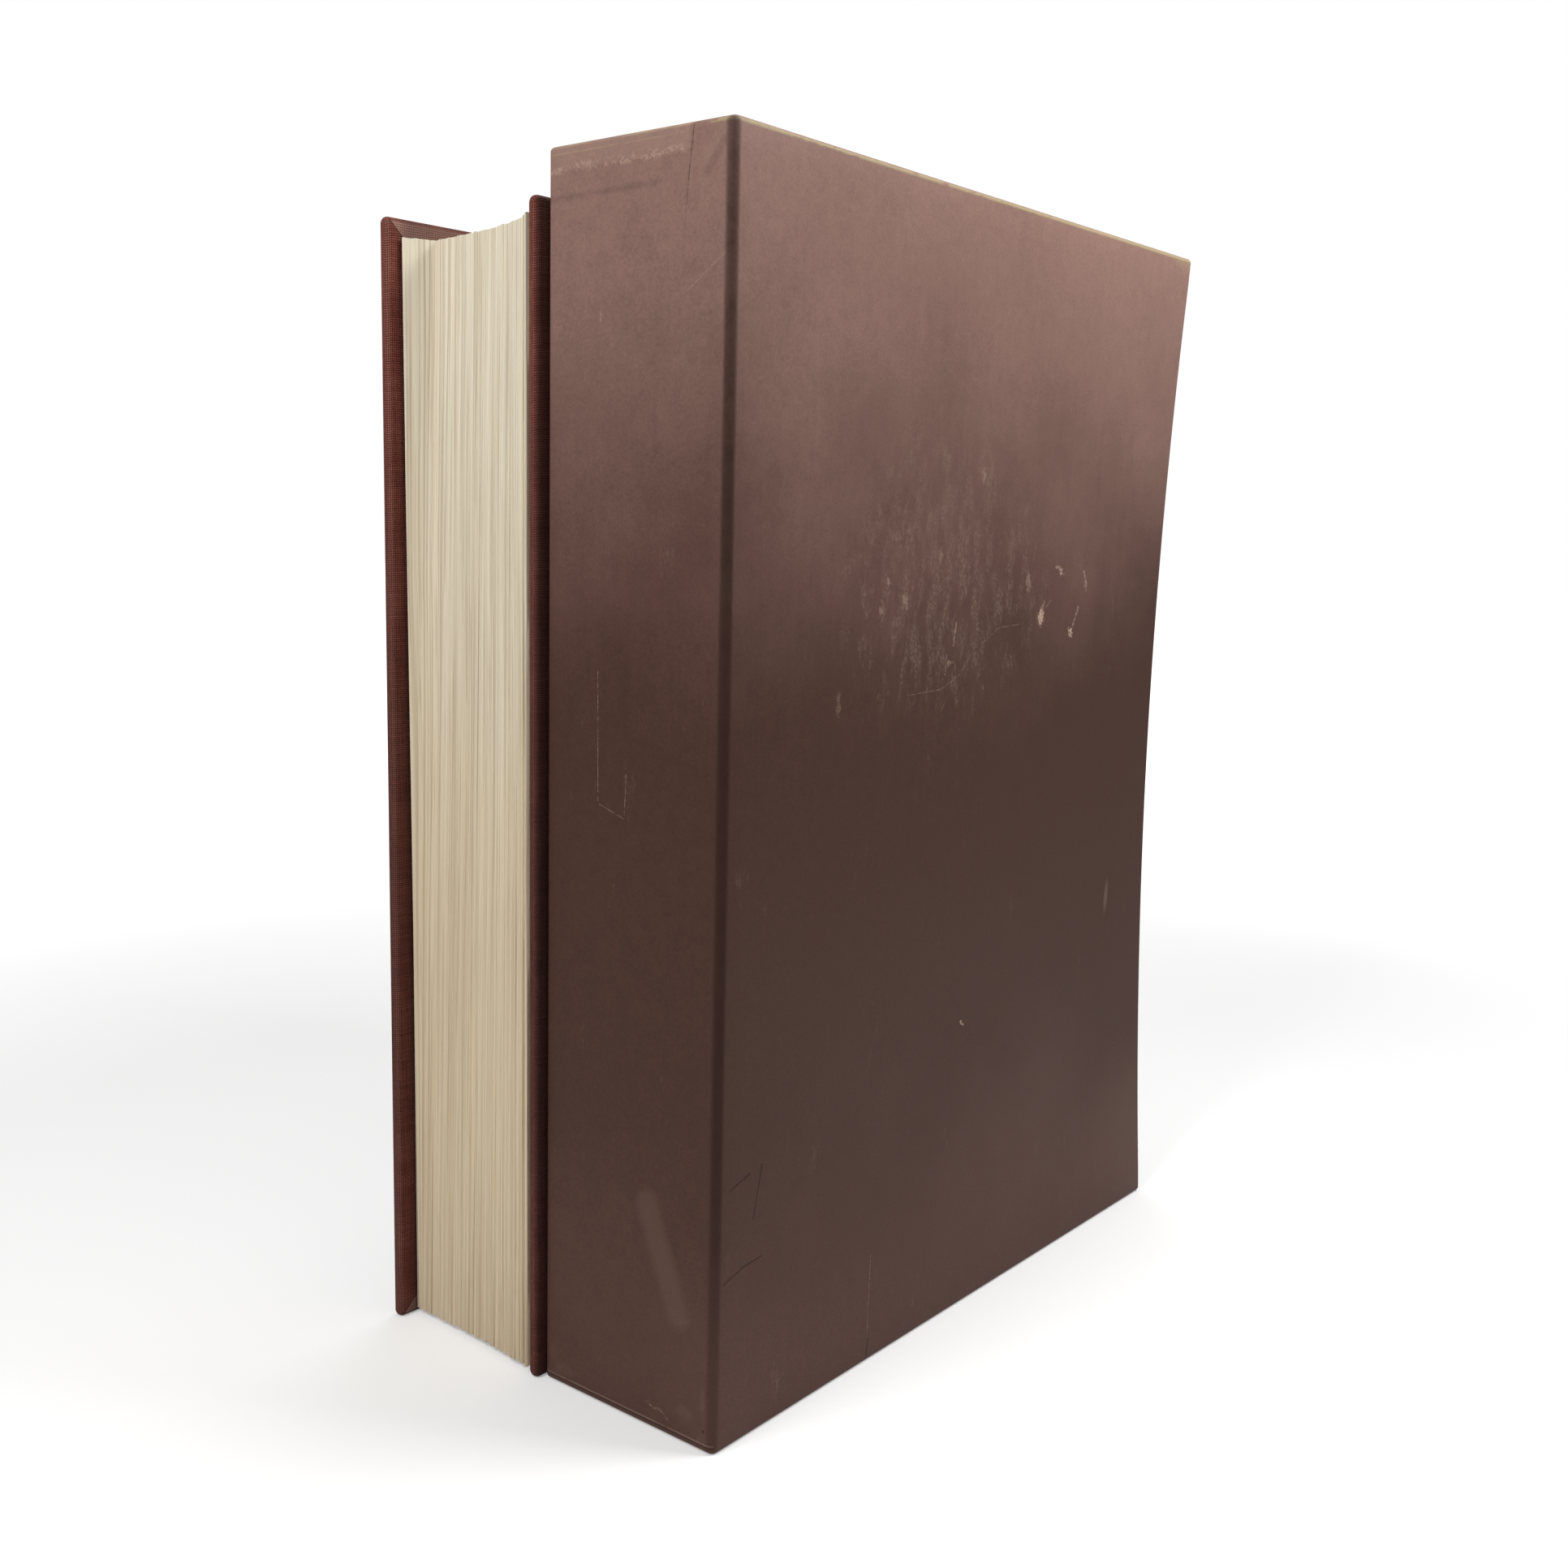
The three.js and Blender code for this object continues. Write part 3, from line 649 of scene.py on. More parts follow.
def make_case_paper():
    paper = CasePaper()
    fold = paper.near_line(paper.x, paper.z, *BACK_FOLD_SHEEN, soft=0.8) * paper.on_back
    fold_shadow = paper.near_line(paper.x, paper.z, *BACK_FOLD_SHADOW, soft=1.2) * paper.on_back
    # A pale line along the lip's upper edge, broken by wear: painted highlight
    lip_edge_highlight = paper.near_height(2.05, 0.32) * paper.on_back * paper.edge_wear.ramp(0.28, 0.46)
    mouth_line = paper.y.ramp(paper.mouth - 0.5, paper.mouth - 0.15) * paper.on_side
    scuffs = paper.scuffs()
    crease_shade = paper.crease_shade()
    dents_and_lip_shade = paper.dents_and_lip_shade()
    body = paper.mix(scuffs * 0.62, paper.plain(), CASE_SCUFF_AND_PAINTED_LIGHT)
    # Smudges, the floor's painted reflection, and the painted sheen along the fold's ridge
    body = paper.mix(paper.soft_marks_and_reflection().max(fold * 0.20), body, CASE_SCUFF_AND_PAINTED_LIGHT)
    body = paper.mix(paper.head_band(), body, CASE_CHIP)
    # Painted shade in the crease and painted shadow beside the fold
    body = paper.scale_colour(body, crease_shade.max(fold_shadow * 0.9) * -0.15 + 1.0)
    body = paper.mix(paper.rubbed_and_lit_edges(), body, CASE_RUBBED_EDGE_HIGHLIGHT)
    body = paper.mix(paper.bare_marks() * 0.95, body, CASE_CHIP)
    body = paper.mix(lip_edge_highlight * 0.65, body, CASE_SCUFF_AND_PAINTED_LIGHT)
    body = paper.scale_colour(body, mouth_line * -0.4 + 1.0)
    body = paper.mix(dents_and_lip_shade * 0.75, body, CASE_CUT_AND_SHADE)
    paper.paint(paper.mix(paper.near_corner_shade(), body, CASE_CORNER_SHADE))
    paper.rough(paper.mottle * 0.16 + paper.cloud * 0.10 + scuffs * 0.2 + 0.37)
    relief = paper.mottle * 0.5 + paper.fleck * 0.4 - dents_and_lip_shade * 2.0 - crease_shade * 0.8 + fold * 0.5 - scuffs * 0.4
    paper.bump(relief, distance_mm=0.10, strength=0.5)
    return paper.material


# Meshes
SHARP_EDGE = math.radians(40)
CORNER_STEPS = 4
# A little over 2, so that round corners don't meet
CORNERS_APART = 2.001


def link_mesh(name, verts, faces, material, smooth=True):
    mesh = bpy.data.meshes.new(name)
    mesh.from_pydata([tuple(v) for v in verts], [], faces)
    mesh.materials.append(material)
    mesh.polygons.foreach_set("use_smooth", [smooth] * len(mesh.polygons))
    mesh.validate()
    mesh.set_sharp_from_angle(angle=SHARP_EDGE)
    piece = bpy.data.objects.new(name, mesh)
    bpy.context.scene.collection.objects.link(piece)
    return piece


def between(start, end, share):
    return tuple(a + (b - a) * share for a, b in zip(start, end))


def eased(share):
    """From 0 to 1, level at both ends."""
    return 0.5 - 0.5 * math.cos(math.pi * share)


def arc_radius(half, rise):
    """The radius of an arc from half its width and its rise."""
    return (half * half + rise * rise) / (2 * rise)


def rounded_outline(low_u, high_u, low_z, high_z, radius, wide_steps, high_steps):
    """Points (u, z) round a rectangle with round corners, anticlockwise from its low right."""
    radius = min(radius, (high_u - low_u) / CORNERS_APART, (high_z - low_z) / CORNERS_APART)
    corners = (
        (high_u - radius, low_z + radius, -math.pi / 2),
        (high_u - radius, high_z - radius, 0.0),
        (low_u + radius, high_z - radius, math.pi / 2),
        (low_u + radius, low_z + radius, math.pi),
    )
    steps = (high_steps, wide_steps, high_steps, wide_steps)
    points = []
    for index, (centre_u, centre_z, start) in enumerate(corners):
        for step in range(CORNER_STEPS + 1):
            angle = start + step / CORNER_STEPS * math.pi / 2
            points.append((centre_u + radius * math.cos(angle), centre_z + radius * math.sin(angle)))
        next_u, next_z, next_start = corners[(index + 1) % 4]
        goal = (next_u + radius * math.cos(next_start), next_z + radius * math.sin(next_start))
        here = points[-1]
        points += [between(here, goal, step / steps[index]) for step in range(1, steps[index])]
    return points


def skin(rings):
    """Verts and faces of a closed skin through rings of points, one flat face at each end."""
    count = len(rings[0])
    verts = [point for ring in rings for point in ring]
    faces = []
    for level in range(len(rings) - 1):
        for i in range(count):
            a = level * count + i
            b = level * count + (i + 1) % count
            faces.append((a, b, b + count, a + count))
    last = (len(rings) - 1) * count
    faces.append(tuple(range(count))[::-1])
    faces.append(tuple(range(last, last + count)))
    return verts, faces


def face_out(piece):
    """Turns all the faces outward."""
    mesh = piece.data
    places = np.array([v.co for v in mesh.vertices])
    volume = 0.0
    for polygon in mesh.polygons:
        corners = places[list(polygon.vertices)]
        for i in range(1, len(corners) - 1):
            volume += np.dot(corners[0], np.cross(corners[i], corners[i + 1]))
    if volume < 0:
        mesh.flip_normals()


def store_unrolled(piece, rings):
    """Stores on each face corner how far it lies along the rings and round them, in millimetres."""
    mesh = piece.data
    count = len(rings[0])
    points = np.array(rings, float)
    steps = np.linalg.norm(np.diff(points, axis=0), axis=2).max(axis=1)
    along = np.concatenate(([0.0], np.cumsum(steps))) / MM
    widest = int(np.argmax(np.ptp(points[:, :, 2], axis=1)))
    edges = np.linalg.norm(np.roll(points[widest], -1, axis=0) - points[widest], axis=1)
    around = np.concatenate(([0.0], np.cumsum(edges))) / MM
    data = mesh.attributes.new("cloth_mm", "FLOAT_VECTOR", "CORNER").data
    for polygon in mesh.polygons:
        corners = list(polygon.vertices)
        ring_places = [vertex % count for vertex in corners]
        wraps = len(corners) == 4 and max(ring_places) == count - 1 and min(ring_places) == 0
        for loop, vertex, place in zip(polygon.loop_indices, corners, ring_places):
            if len(corners) > 4:
                co = mesh.vertices[vertex].co
                data[loop].vector = ((co.x + co.y) / MM, co.z / MM, 0)
                continue
            turn = around[count] if wraps and place == 0 else around[place]
            data[loop].vector = (along[vertex // count], turn, 0)


# Slipcase: its corners at the closed back, its long edges and its rim are rounded
CASE_CORNER = 1.8 * MM
CASE_EDGE = 1.15 * MM
CASE_RIM = 1.0 * MM
CASE_WALL_AT_MOUTH = 2.9 * MM
CASE_OUTSIDE_INSET = CASE_WALL_AT_MOUTH / 1.5
CASE_TURN_IN = 12 * MM
CASE_TURN_IN_PAPER = 0.1 * MM
CASE_BOW = 5.0 * MM
CASE_BOW_SHARPNESS = 1.6
INSIDE_SKIN = 0.1 * MM
LEAST_ROUND = 0.15 * MM
CASE_FAR_CORNER = 0.5
CASE_LEAN = 0.75 * MM
CASE_WORN_FOOT = 2.4 * MM
CASE_WORN_STATIONS = (4.2 * MM, 3.2 * MM, 2.4 * MM, 1.7 * MM)
CASE_DEPTH_STEPS = 36
CASE_INSIDE_STEPS = 24
CASE_WIDE_STEPS = 10
CASE_HIGH_STEPS = 44
ROUND_TURNS = [math.radians(a) for a in range(0, 91, 15)]


def case_stations(low, high, wall):
    """Steps from the closed back out to the mouth and back inside: y, and the insets in x and z."""
    stations = [(low.y, CASE_CORNER + MM, CASE_EDGE + MM)]
    for t in ROUND_TURNS:
        left = 1 - math.sin(t)
        stations.append((low.y + CASE_CORNER * (1 - math.cos(t)), CASE_CORNER * left, CASE_EDGE * left))
    first, last = low.y + CASE_CORNER, high.y - CASE_RIM
    for i in range(1, CASE_DEPTH_STEPS):
        stations.append((first + (last - first) * i / CASE_DEPTH_STEPS, 0, 0))
    stations += [(high.y - before_mouth, 0, 0) for before_mouth in CASE_WORN_STATIONS]
    for t in ROUND_TURNS:
        inset = CASE_RIM * (1 - math.cos(t))
        stations.append((last + CASE_RIM * math.sin(t), inset, inset))
    for t in ROUND_TURNS:
        inset = CASE_WALL_AT_MOUTH - CASE_RIM * (1 - math.sin(t))
        stations.append((high.y - CASE_RIM * (1 - math.cos(t)), inset, inset))
    turn_end = high.y - CASE_TURN_IN
    stations.append((turn_end, CASE_WALL_AT_MOUTH, CASE_WALL_AT_MOUTH))
    stations.append((turn_end - CASE_TURN_IN_PAPER, wall, wall))
    inner_back = low.y + wall
    for i in range(1, CASE_INSIDE_STEPS + 1):
        stations.append((turn_end + (inner_back - turn_end) * i / CASE_INSIDE_STEPS, wall, wall))
    return stations


def make_slipcase(paper, lining):
    low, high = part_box("slipcase_wrap")
    _, board_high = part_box("slipcase_left_board")
    top_low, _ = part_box("slipcase_top_board")
    _, bottom_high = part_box("slipcase_bottom_board")
    wall = board_high.x - low.x + INSIDE_SKIN
    depth = high.y - low.y
    middle = (low.x + high.x) / 2

    def bow(y, z):
        """How far the big side bends in, most at half height at the mouth."""
        height = min(max((z - bottom_high.z) / (top_low.z - bottom_high.z), 0), 1)
        share = min(max((y - low.y) / depth, 0), 1)
        return CASE_BOW * 4 * height * (1 - height) * share ** CASE_BOW_SHARPNESS

    def wear_foot(y, z, share):
        """Rounds the foot corner at the mouth by a share of its full wear."""
        off_y, off_z = y - (high.y - CASE_WORN_FOOT), z - CASE_WORN_FOOT
        reach = math.hypot(off_y, off_z)
        if off_y <= 0 or off_z >= 0 or reach <= CASE_WORN_FOOT:
            return y, z
        pull = share * (1 - CASE_WORN_FOOT / reach)
        return y - off_y * pull, z - off_z * pull

    def shape(x, y, z, inset_x, inset_z):
        """Moves a point of the square case to its place on the bent and worn one."""
        if x > middle:
            y, z = wear_foot(y, z, (x - middle) / (high.x - middle))
            return x - bow(y, z), y, z
        if inset_x < CASE_OUTSIDE_INSET:
            x -= max(inset_x - inset_z, 0) * (1 - CASE_FAR_CORNER)
            x -= CASE_LEAN * (1 - z / high.z) * (high.y - y) / depth
        return x, y, z

    stations = case_stations(low, high, wall)
    rings = []
    for y, inset_x, inset_z in stations:
        outline = rounded_outline(
            low.x + inset_x, high.x - inset_x, low.z + inset_z, high.z - inset_z,
            max(CASE_EDGE - inset_z, LEAST_ROUND), CASE_WIDE_STEPS, CASE_HIGH_STEPS,
        )
        rings.append([shape(x, y, z, inset_x, inset_z) for x, z in outline])
    verts, faces = skin(rings)
    case = link_mesh("slipcase_skin", verts, faces, paper)
    case.data.materials.append(lining)
    inside_from = (len(stations) - CASE_INSIDE_STEPS - 1) * len(rings[0])
    for polygon in case.data.polygons:
        if min(polygon.vertices) >= inside_from:
            polygon.material_index = 1
    face_out(case)
    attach(case, "back_cover")
    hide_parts("slipcase_wrap", "slipcase_head_strip", "slipcase_tail_strip")


# Covers: board and cloth as one rounded plate that runs into the joint
COVER_ROUND = 1.25 * MM
COVER_STEPS = 40
COVER_WIDE_STEPS = 4
CLOTH_HIGH_STEPS = 60
CLOTH_ON_BOARD_EDGE = 0.5 * MM
CLOTH_PAST_PIVOT = 1.0 * MM
JOINT_SHEET = 0.45 * MM
JOINT_BEFORE_EDGE = 1.2 * MM
JOINT_DROP = 2.0 * MM
JUST_PAST_BOARD = 0.1 * MM
JOINT_STEPS = 8
FRONT_SPLAY = math.radians(1.6)
# How far from the inner face the shade beside the slipcase begins, and over what depth it grows
SHADE_FROM_MM = 2.1
SHADE_RUN_MM = 0.8


def joint_place(name):
    joint = next(j for j in frame["record"]["behaviour"]["joints"] if j["name"] == name)
    return Vector(joint["pos_m"])


def cover_stations(fore, last, end, inner, outer):
    """Steps from the fore-edge to the joint's end: y, inner face, outer face and inset in z."""
    stations = []
    for t in ROUND_TURNS:
        inset = COVER_ROUND * (1 - math.sin(t))
        stations.append((fore + COVER_ROUND * (1 - math.cos(t)), inner + inset, outer - inset, inset))
    first = fore + COVER_ROUND
    for i in range(1, COVER_STEPS + 1):
        stations.append((first + (last - first) * i / COVER_STEPS, inner, outer, 0))
    sheet_outer = inner + JOINT_SHEET
    for step in range(1, JOINT_STEPS + 1):
        share = step / JOINT_STEPS
        stations.append((last + JOINT_DROP * share, inner, outer + (sheet_outer - outer) * eased(share), 0))
    bottom = last + JOINT_DROP
    for i in range(1, JOINT_STEPS + 1):
        stations.append((bottom + (end - bottom) * i / JOINT_STEPS, inner, sheet_outer, 0))
    return stations


def make_cover(name, side, cloth, splay=0.0):
    """A cover, built square about its joint and then swung open by its splay."""
    pivot = joint_place(f"{name}_joint")
    low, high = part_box(f"{name}_cloth")
    back_low, back_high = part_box("back_cloth")
    _, board_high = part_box("back_board")
    spine_low, spine_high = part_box("spine_cloth")
    centre = (spine_low.x + spine_high.x) / 2
    thickness = back_high.x - back_low.x
    outer = back_high.x - centre
    inner = outer - thickness
    fore = low.y + (low.y - pivot.y) * (1 - math.cos(splay))
    last = board_high.y + CLOTH_ON_BOARD_EDGE - JOINT_BEFORE_EDGE
    rings = []
    for y, near, far, inset in cover_stations(fore, last, pivot.y + CLOTH_PAST_PIVOT, inner, outer):
        outline = rounded_outline(
            near, far, low.z + inset, high.z - inset, COVER_ROUND, COVER_WIDE_STEPS, CLOTH_HIGH_STEPS,
        )
        rings.append([(centre + side * u, y, z) for u, z in outline])
    verts, faces = skin(rings)
    cover = link_mesh(f"{name}_cover_cloth", verts, faces, cloth)
    store_unrolled(cover, rings)
    places = cover.data.attributes.new("turn_mm", "FLOAT_VECTOR", "POINT").data
    shades = cover.data.attributes.new("shade_beside_case", "FLOAT_VECTOR", "POINT").data
    for entry, shade, vertex in zip(places, shades, cover.data.vertices):
        from_end = min(vertex.co.z - low.z, high.z - vertex.co.z)
        in_joint = vertex.co.y > last + JUST_PAST_BOARD
        from_inner = thickness if in_joint else side * (vertex.co.x - centre) - inner
        entry.vector = Vector((vertex.co.y - fore, from_end, from_inner)) / MM
        # The back cover's outer side next to the slipcase gets painted shade, growing with depth from the
        # inner face
        if side > 0 and not in_joint:
            share = min(max((from_inner / MM - SHADE_FROM_MM) / SHADE_RUN_MM, 0), 1)
            shade.vector = (share, 0, 0)
    if splay:
        turn = Matrix.Translation(pivot) @ Matrix.Rotation(-splay, 4, "Z") @ Matrix.Translation(-pivot)
        cover.data.transform(turn)
    face_out(cover)
    return cover


def make_covers(cloth):
    front = make_cover("front", -1, cloth, FRONT_SPLAY)
    back = make_cover("back", 1, cloth)
    for piece, name in ((front, "front"), (back, "back")):
        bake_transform(piece)
        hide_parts(f"{name}_cloth")


# Spine of the case: card and cloth in one round shell, with a shoulder down into each joint
SPINE_SHELL = 1.9 * MM
SPINE_ROUND = 0.85 * MM
SPINE_PAST_PIVOT = 0.2 * MM
SPINE_BEFORE_INLAY = 0.2 * MM
SPINE_SHOULDER_STEPS = 5
SPINE_ARC_STEPS = 48
SPINE_WIDE_STEPS = 3


def make_spine(cloth):
    low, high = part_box("spine_cloth")
    inlay_low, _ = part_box("spine_inlay")
    back_low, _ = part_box("back_cloth")
    centre = (low.x + high.x) / 2
    half = (high.x - low.x) / 2
    start_y = joint_place("front_joint").y + SPINE_PAST_PIVOT
    end_y = inlay_low.y - SPINE_BEFORE_INLAY
    radius = arc_radius(half, high.y - end_y)
    centre_y = high.y - radius
    reach = math.asin(half / radius)
    start_width = back_low.x - centre + JOINT_SHEET
    path = []
    for i in range(SPINE_SHOULDER_STEPS + 1):
        share = i / SPINE_SHOULDER_STEPS
        width = start_width + (half - start_width) * eased(share)
        thick = JOINT_SHEET + (SPINE_SHELL - JOINT_SHEET) * share
        path.append((centre - width, start_y + (end_y - start_y) * share, thick, (-1.0, 0.0)))
    shoulder = path[::-1]
    for i in range(1, SPINE_ARC_STEPS):
        angle = -reach + 2 * reach * i / SPINE_ARC_STEPS
        normal = (math.sin(angle), math.cos(angle))
        path.append((centre + radius * normal[0], centre_y + radius * normal[1], SPINE_SHELL, normal))
    path += [(2 * centre - x, y, thick, (-normal[0], normal[1])) for x, y, thick, normal in shoulder]
    rings = []
    for x, y, thick, (normal_x, normal_y) in path:
        outline = rounded_outline(
            -thick, 0, low.z, high.z, SPINE_ROUND, SPINE_WIDE_STEPS, CLOTH_HIGH_STEPS,
        )
        rings.append([(x + normal_x * u, y + normal_y * u, z) for u, z in outline])
    verts, faces = skin(rings)
    spine = link_mesh("spine_cover_cloth", verts, faces, cloth)
    store_unrolled(spine, rings)
    face_out(spine)
    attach(spine, "text_block")
    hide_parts("spine_cloth")


# Leaves: shares are counted from the back cover to the front cover
LEAF_SEED = 7
LEAF_COLUMNS = 250
LEAF_ROWS = 56
LEAF_DEPTH_STEPS = 14
LEAF_LEVELS = 5
QUIRES = 26
JUST_UNDER_ONE = 0.9999
QUIRE_GROOVE_SHARE = 0.12
QUIRE_GROOVE_DEPTH = 0.3 * MM
QUIRE_GROOVE_AT_TAIL = 0.25 * MM
BLOCK_RISE = 8 * MM
BESIDE_FLYLEAF = 0.15 * MM
FRONT_SPRUNG = 0.35 * MM
FORE_EDGE_AT_BACK = 2.3 * MM
HOLLOW_HEAD = 7.7 * MM
HOLLOW_TAIL = 2.3 * MM
HOLLOW_ROUNDNESS = 2.2
SHEAF_AHEAD = 7.0 * MM
SHEAF_SHARE = 0.08
SHEAF_ROUNDNESS = 1.3
SET_BACK_LEAVES = (0.016, 0.048)
SET_BACK_BY = 0.7 * MM
LAST_LEAVES_AHEAD = 0.2 * MM
HEAD_SLOPE = 0.4 * MM
HEAD_STEP = 0.35 / 3 * MM
HEAD_STEPS_SHARE = 0.1
HEAD_STEPS_PER_SHARE = 60
UNEVEN_LEFT_AT_SPINE = 0.3
# Unevenness from leaf to leaf and from quire to quire
UNEVEN_FORE_EDGE_MM = (0.05, 0.08)
UNEVEN_HEAD_MM = (0.06, 0.03)
UNEVEN_TAIL_MM = (0.12, 0.16)


class LeafBlock:
    """The block of leaves as a lattice: i across the leaves, j up them and k from fore-edge to spine."""

    def __init__(self):
        rng = np.random.default_rng(LEAF_SEED)
        self.low, self.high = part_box("text_block")
        fly_low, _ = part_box("back_flyleaf")
        front_low, front_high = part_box("front_flyleaf")
        self.fore = fly_low.y
        self.back_x = fly_low.x - BESIDE_FLYLEAF
        self.front_fore_x = front_low.x + FRONT_SPRUNG
        front_spine_x = front_high.x + BESIDE_FLYLEAF
        self.middle_x = (self.back_x + front_spine_x) / 2
        half = (self.back_x - front_spine_x) / 2
        self.radius = arc_radius(half, BLOCK_RISE)
        self.reach = math.asin(half / self.radius)
        self.share = np.linspace(0, 1, LEAF_COLUMNS + 1)
        quire = np.floor(self.share * QUIRES * JUST_UNDER_ONE).astype(int)
        inside = self.share * QUIRES - quire
        self.groove = np.clip(1 - np.minimum(inside, 1 - inside) / QUIRE_GROOVE_SHARE, 0, 1)

        def uneven(by_leaf, by_quire):
            return (rng.normal(0, by_leaf, LEAF_COLUMNS + 1) + rng.normal(0, by_quire, QUIRES)[quire]) * MM

        self.steps = np.array([uneven(*UNEVEN_FORE_EDGE_MM) for _ in range(LEAF_LEVELS)])
        set_back = (self.share > SET_BACK_LEAVES[0]) & (self.share < SET_BACK_LEAVES[1])
        self.steps[:, set_back] += SET_BACK_BY
        self.steps[:, self.share <= SET_BACK_LEAVES[0]] -= LAST_LEAVES_AHEAD
        self.ragged_head = uneven(*UNEVEN_HEAD_MM)
        self.ragged_tail = uneven(*UNEVEN_TAIL_MM)
        self.index = {}
        self.verts = []
        self.stored = []
        self.faces = []

    def fore_edge_y(self, i, headness):
        share = self.share[i]
        hollow = HOLLOW_TAIL + (HOLLOW_HEAD - HOLLOW_TAIL) * headness
        sheaf = max(0.0, (share - 1 + SHEAF_SHARE) / SHEAF_SHARE)
        ahead = SHEAF_AHEAD * headness * sheaf ** SHEAF_ROUNDNESS
        rough = np.interp(headness * (LEAF_LEVELS - 1), range(LEAF_LEVELS), self.steps[:, i])
        y = self.fore - FORE_EDGE_AT_BACK + hollow * (1 - (1 - share) ** HOLLOW_ROUNDNESS) - ahead
        return y + rough + self.groove[i] * QUIRE_GROOVE_DEPTH

    def uneven_end(self, i, j, depth):
        """How far a leaf stands above or below the block's end, less so towards the spine."""
        share = self.share[i]
        left = 1 - (1 - UNEVEN_LEFT_AT_SPINE) * depth
        if j == 0:
            return self.ragged_tail[i] * left + self.groove[i] * QUIRE_GROOVE_AT_TAIL
        if j == LEAF_ROWS:
            stepped = HEAD_STEP * math.floor(max(0, HEAD_STEPS_SHARE - share) * HEAD_STEPS_PER_SHARE)
            return self.ragged_head[i] * left + (HEAD_SLOPE * (1 - share) + stepped) * (1 - depth)
        return 0.0

    def place(self, i, j, k):
        headness = j / LEAF_ROWS
        depth = k / LEAF_DEPTH_STEPS
        angle = self.reach - 2 * self.reach * self.share[i]
        start_x = self.back_x + (self.front_fore_x - self.back_x) * self.share[i]
        finish = (
            self.middle_x + self.radius * math.sin(angle),
            self.high.y - self.radius + self.radius * math.cos(angle),
        )
        x, y = between((start_x, self.fore_edge_y(i, headness)), finish, depth)
        z = self.low.z + (self.high.z - self.low.z) * headness
        return x, y, z + self.uneven_end(i, j, depth)

    def vertex(self, i, j, k):
        key = (i, j, k)
        if key not in self.index:
            self.index[key] = len(self.verts)
            point = self.place(i, j, k)
            self.verts.append(point)
            along = point[2] / MM if k in (0, LEAF_DEPTH_STEPS) else point[1] / MM
            self.stored.append((self.share[i] * LEAVES_ACROSS_MM, along, 0))
        return self.index[key]

    def add_side(self, firsts, seconds, vertex):
        for a, next_a in zip(firsts, firsts[1:]):
            for b, next_b in zip(seconds, seconds[1:]):
                corners = ((a, b), (next_a, b), (next_a, next_b), (a, next_b))
                self.faces.append(tuple(vertex(*corner) for corner in corners))

    def add_sides(self):
        """The six sides: fore-edge, spine, tail, head, back and front."""
        columns, rows, depths = range(LEAF_COLUMNS + 1), range(LEAF_ROWS + 1), range(LEAF_DEPTH_STEPS + 1)
        self.add_side(columns, rows, lambda i, j: self.vertex(i, j, 0))
        self.add_side(rows, columns, lambda j, i: self.vertex(i, j, LEAF_DEPTH_STEPS))
        self.add_side(depths, columns, lambda k, i: self.vertex(i, 0, k))
        self.add_side(columns, depths, lambda i, k: self.vertex(i, LEAF_ROWS, k))
        self.add_side(rows, depths, lambda j, k: self.vertex(0, j, k))
        self.add_side(depths, rows, lambda k, j: self.vertex(LEAF_COLUMNS, j, k))


def make_leaves(material):
    block = LeafBlock()
    block.add_sides()
    leaves = link_mesh("leaves", block.verts, block.faces, material)
    data = leaves.data.attributes.new("leaf_mm", "FLOAT_VECTOR", "POINT").data
    for entry, value in zip(data, block.stored):
        entry.vector = value
    face_out(leaves)
    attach(leaves, "text_block")
    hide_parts("text_block")


# Finish of the CAD nodes that are kept
def dress_nodes(finishes):
    for material, names in finishes:
        for name in names:
            slots = frame["nodes"][name].data.materials
            slots.clear()
            slots.append(material)


# Floor, lamps and surroundings
FLOOR_RADIUS = 8.0
FLOOR_SIDES = 64
FLOOR_COLOUR = (0.85, 0.85, 0.85, 1)
FLOOR_GLOW_NEAR = 0.30
FLOOR_GLOW_FAR = 1.0
FLOOR_FADE = (0.25, 0.9)
WORLD_FILL = 0.28
WHITE = (1.0, 1.0, 1.0, 1.0)
# name, place, target, size in metres, power in watts
LAMPS = (
    ("front", (0.02, -0.46, 0.57), (0, -0.1, 0.2), 0.25, 1.8),
    ("right", (0.26, 0.10, 0.50), (0.05, 0.02, 0.2), 0.16, 1.25),
    ("overhead", (-0.1, 0.2, 0.95), (0, 0, 0.2), 0.40, 2.0),
)


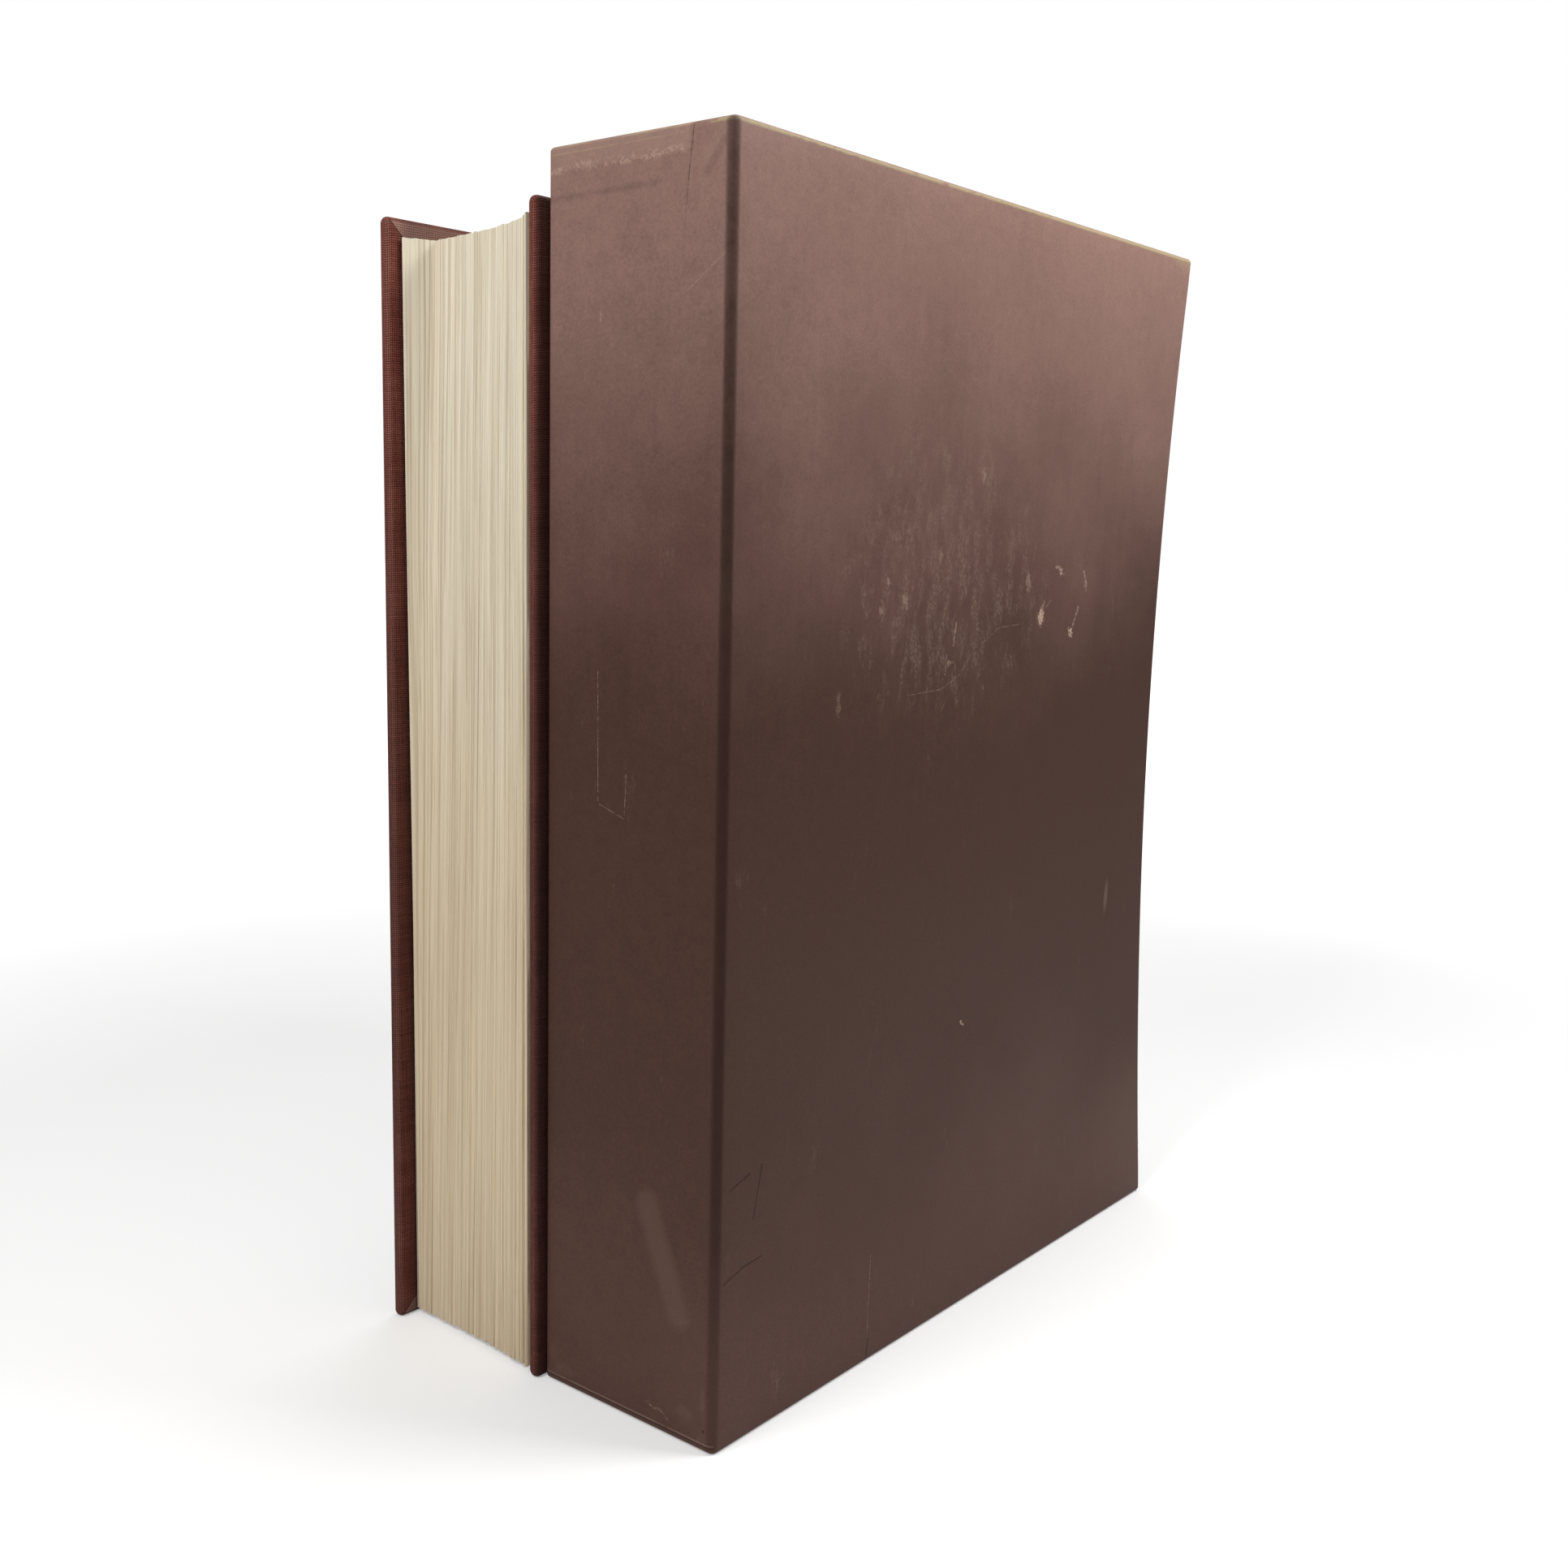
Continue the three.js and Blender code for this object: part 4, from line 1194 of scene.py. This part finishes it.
def make_floor():
    """A pale floor. It takes the object's shadow, and runs into the white surroundings far off."""
    material = bpy.data.materials.new("floor")
    material.use_nodes = True
    tree = material.node_tree
    tree.nodes.clear()
    diffuse = tree.nodes.new("ShaderNodeBsdfDiffuse")
    diffuse.inputs["Color"].default_value = FLOOR_COLOUR
    glow = tree.nodes.new("ShaderNodeEmission")
    glow.inputs["Color"].default_value = WHITE
    seen = tree.nodes.new("ShaderNodeLightPath")
    place = tree.nodes.new("ShaderNodeTexCoord")
    length = tree.nodes.new("ShaderNodeVectorMath")
    length.operation = "LENGTH"
    tree.links.new(place.outputs["Object"], length.inputs[0])
    far = Value(tree, length.outputs["Value"]).ramp(*FLOOR_FADE)
    seen_directly = Value(tree, seen.outputs["Is Camera Ray"])
    strength = (far * (FLOOR_GLOW_FAR - FLOOR_GLOW_NEAR) + FLOOR_GLOW_NEAR) * seen_directly
    tree.links.new(strength.socket, glow.inputs["Strength"])
    both = tree.nodes.new("ShaderNodeAddShader")
    tree.links.new(diffuse.outputs[0], both.inputs[0])
    tree.links.new(glow.outputs[0], both.inputs[1])
    output = tree.nodes.new("ShaderNodeOutputMaterial")
    tree.links.new(both.outputs[0], output.inputs["Surface"])
    turns = [2 * math.pi * i / FLOOR_SIDES for i in range(FLOOR_SIDES)]
    verts = [(FLOOR_RADIUS * math.cos(t), FLOOR_RADIUS * math.sin(t), 0) for t in turns]
    floor = link_mesh("floor", verts, [tuple(range(FLOOR_SIDES))], material, smooth=False)


def make_world():
    world = bpy.data.worlds.new("studio")
    world.use_nodes = True
    tree = world.node_tree
    background = next(n for n in tree.nodes if n.type == "BACKGROUND")
    path = tree.nodes.new("ShaderNodeLightPath")
    strength = Value(tree, path.outputs["Is Camera Ray"]) * (1 - WORLD_FILL) + WORLD_FILL
    background.inputs["Color"].default_value = WHITE
    tree.links.new(strength.socket, background.inputs["Strength"])
    bpy.context.scene.world = world


def make_lamp(name, place, target, size, power):
    data = bpy.data.lights.new(name, "AREA")
    data.shape = "SQUARE"
    data.size = size
    data.energy = power
    lamp = bpy.data.objects.new(name, data)
    lamp.location = place
    lamp.rotation_euler = (Vector(place) - Vector(target)).to_track_quat("Z", "Y").to_euler()
    bpy.context.scene.collection.objects.link(lamp)


bpy.context.scene.view_settings.view_transform = "Standard"
make_camera()
make_floor()
make_world()
for lamp in LAMPS:
    make_lamp(*lamp)

cloth_material = make_cloth()
board_material = make_grain("binders_board", BOARD_TONES, scale=0.5)
lining_material = make_grain("case_lining", LINING_TONES, scale=0.3, roughness=0.85)
mull_material = make_grain("mull", MULL_TONES, scale=1.2, stretch=(1, 1, 4))
dress_nodes((
    (make_endpaper(), ("front_flyleaf", "back_flyleaf", "front_pastedown", "back_pastedown")),
    (make_bands(), ("head_band", "tail_band")),
    (mull_material, ("spine_mull",)),
    (board_material, (
        "front_board", "back_board", "spine_inlay", "spine_lining",
        "slipcase_left_board", "slipcase_right_board", "slipcase_back_board",
        "slipcase_top_board", "slipcase_bottom_board",
    )),
))
make_slipcase(make_case_paper(), lining_material)
make_covers(cloth_material)
make_spine(cloth_material)
make_leaves(make_leaf_edges())
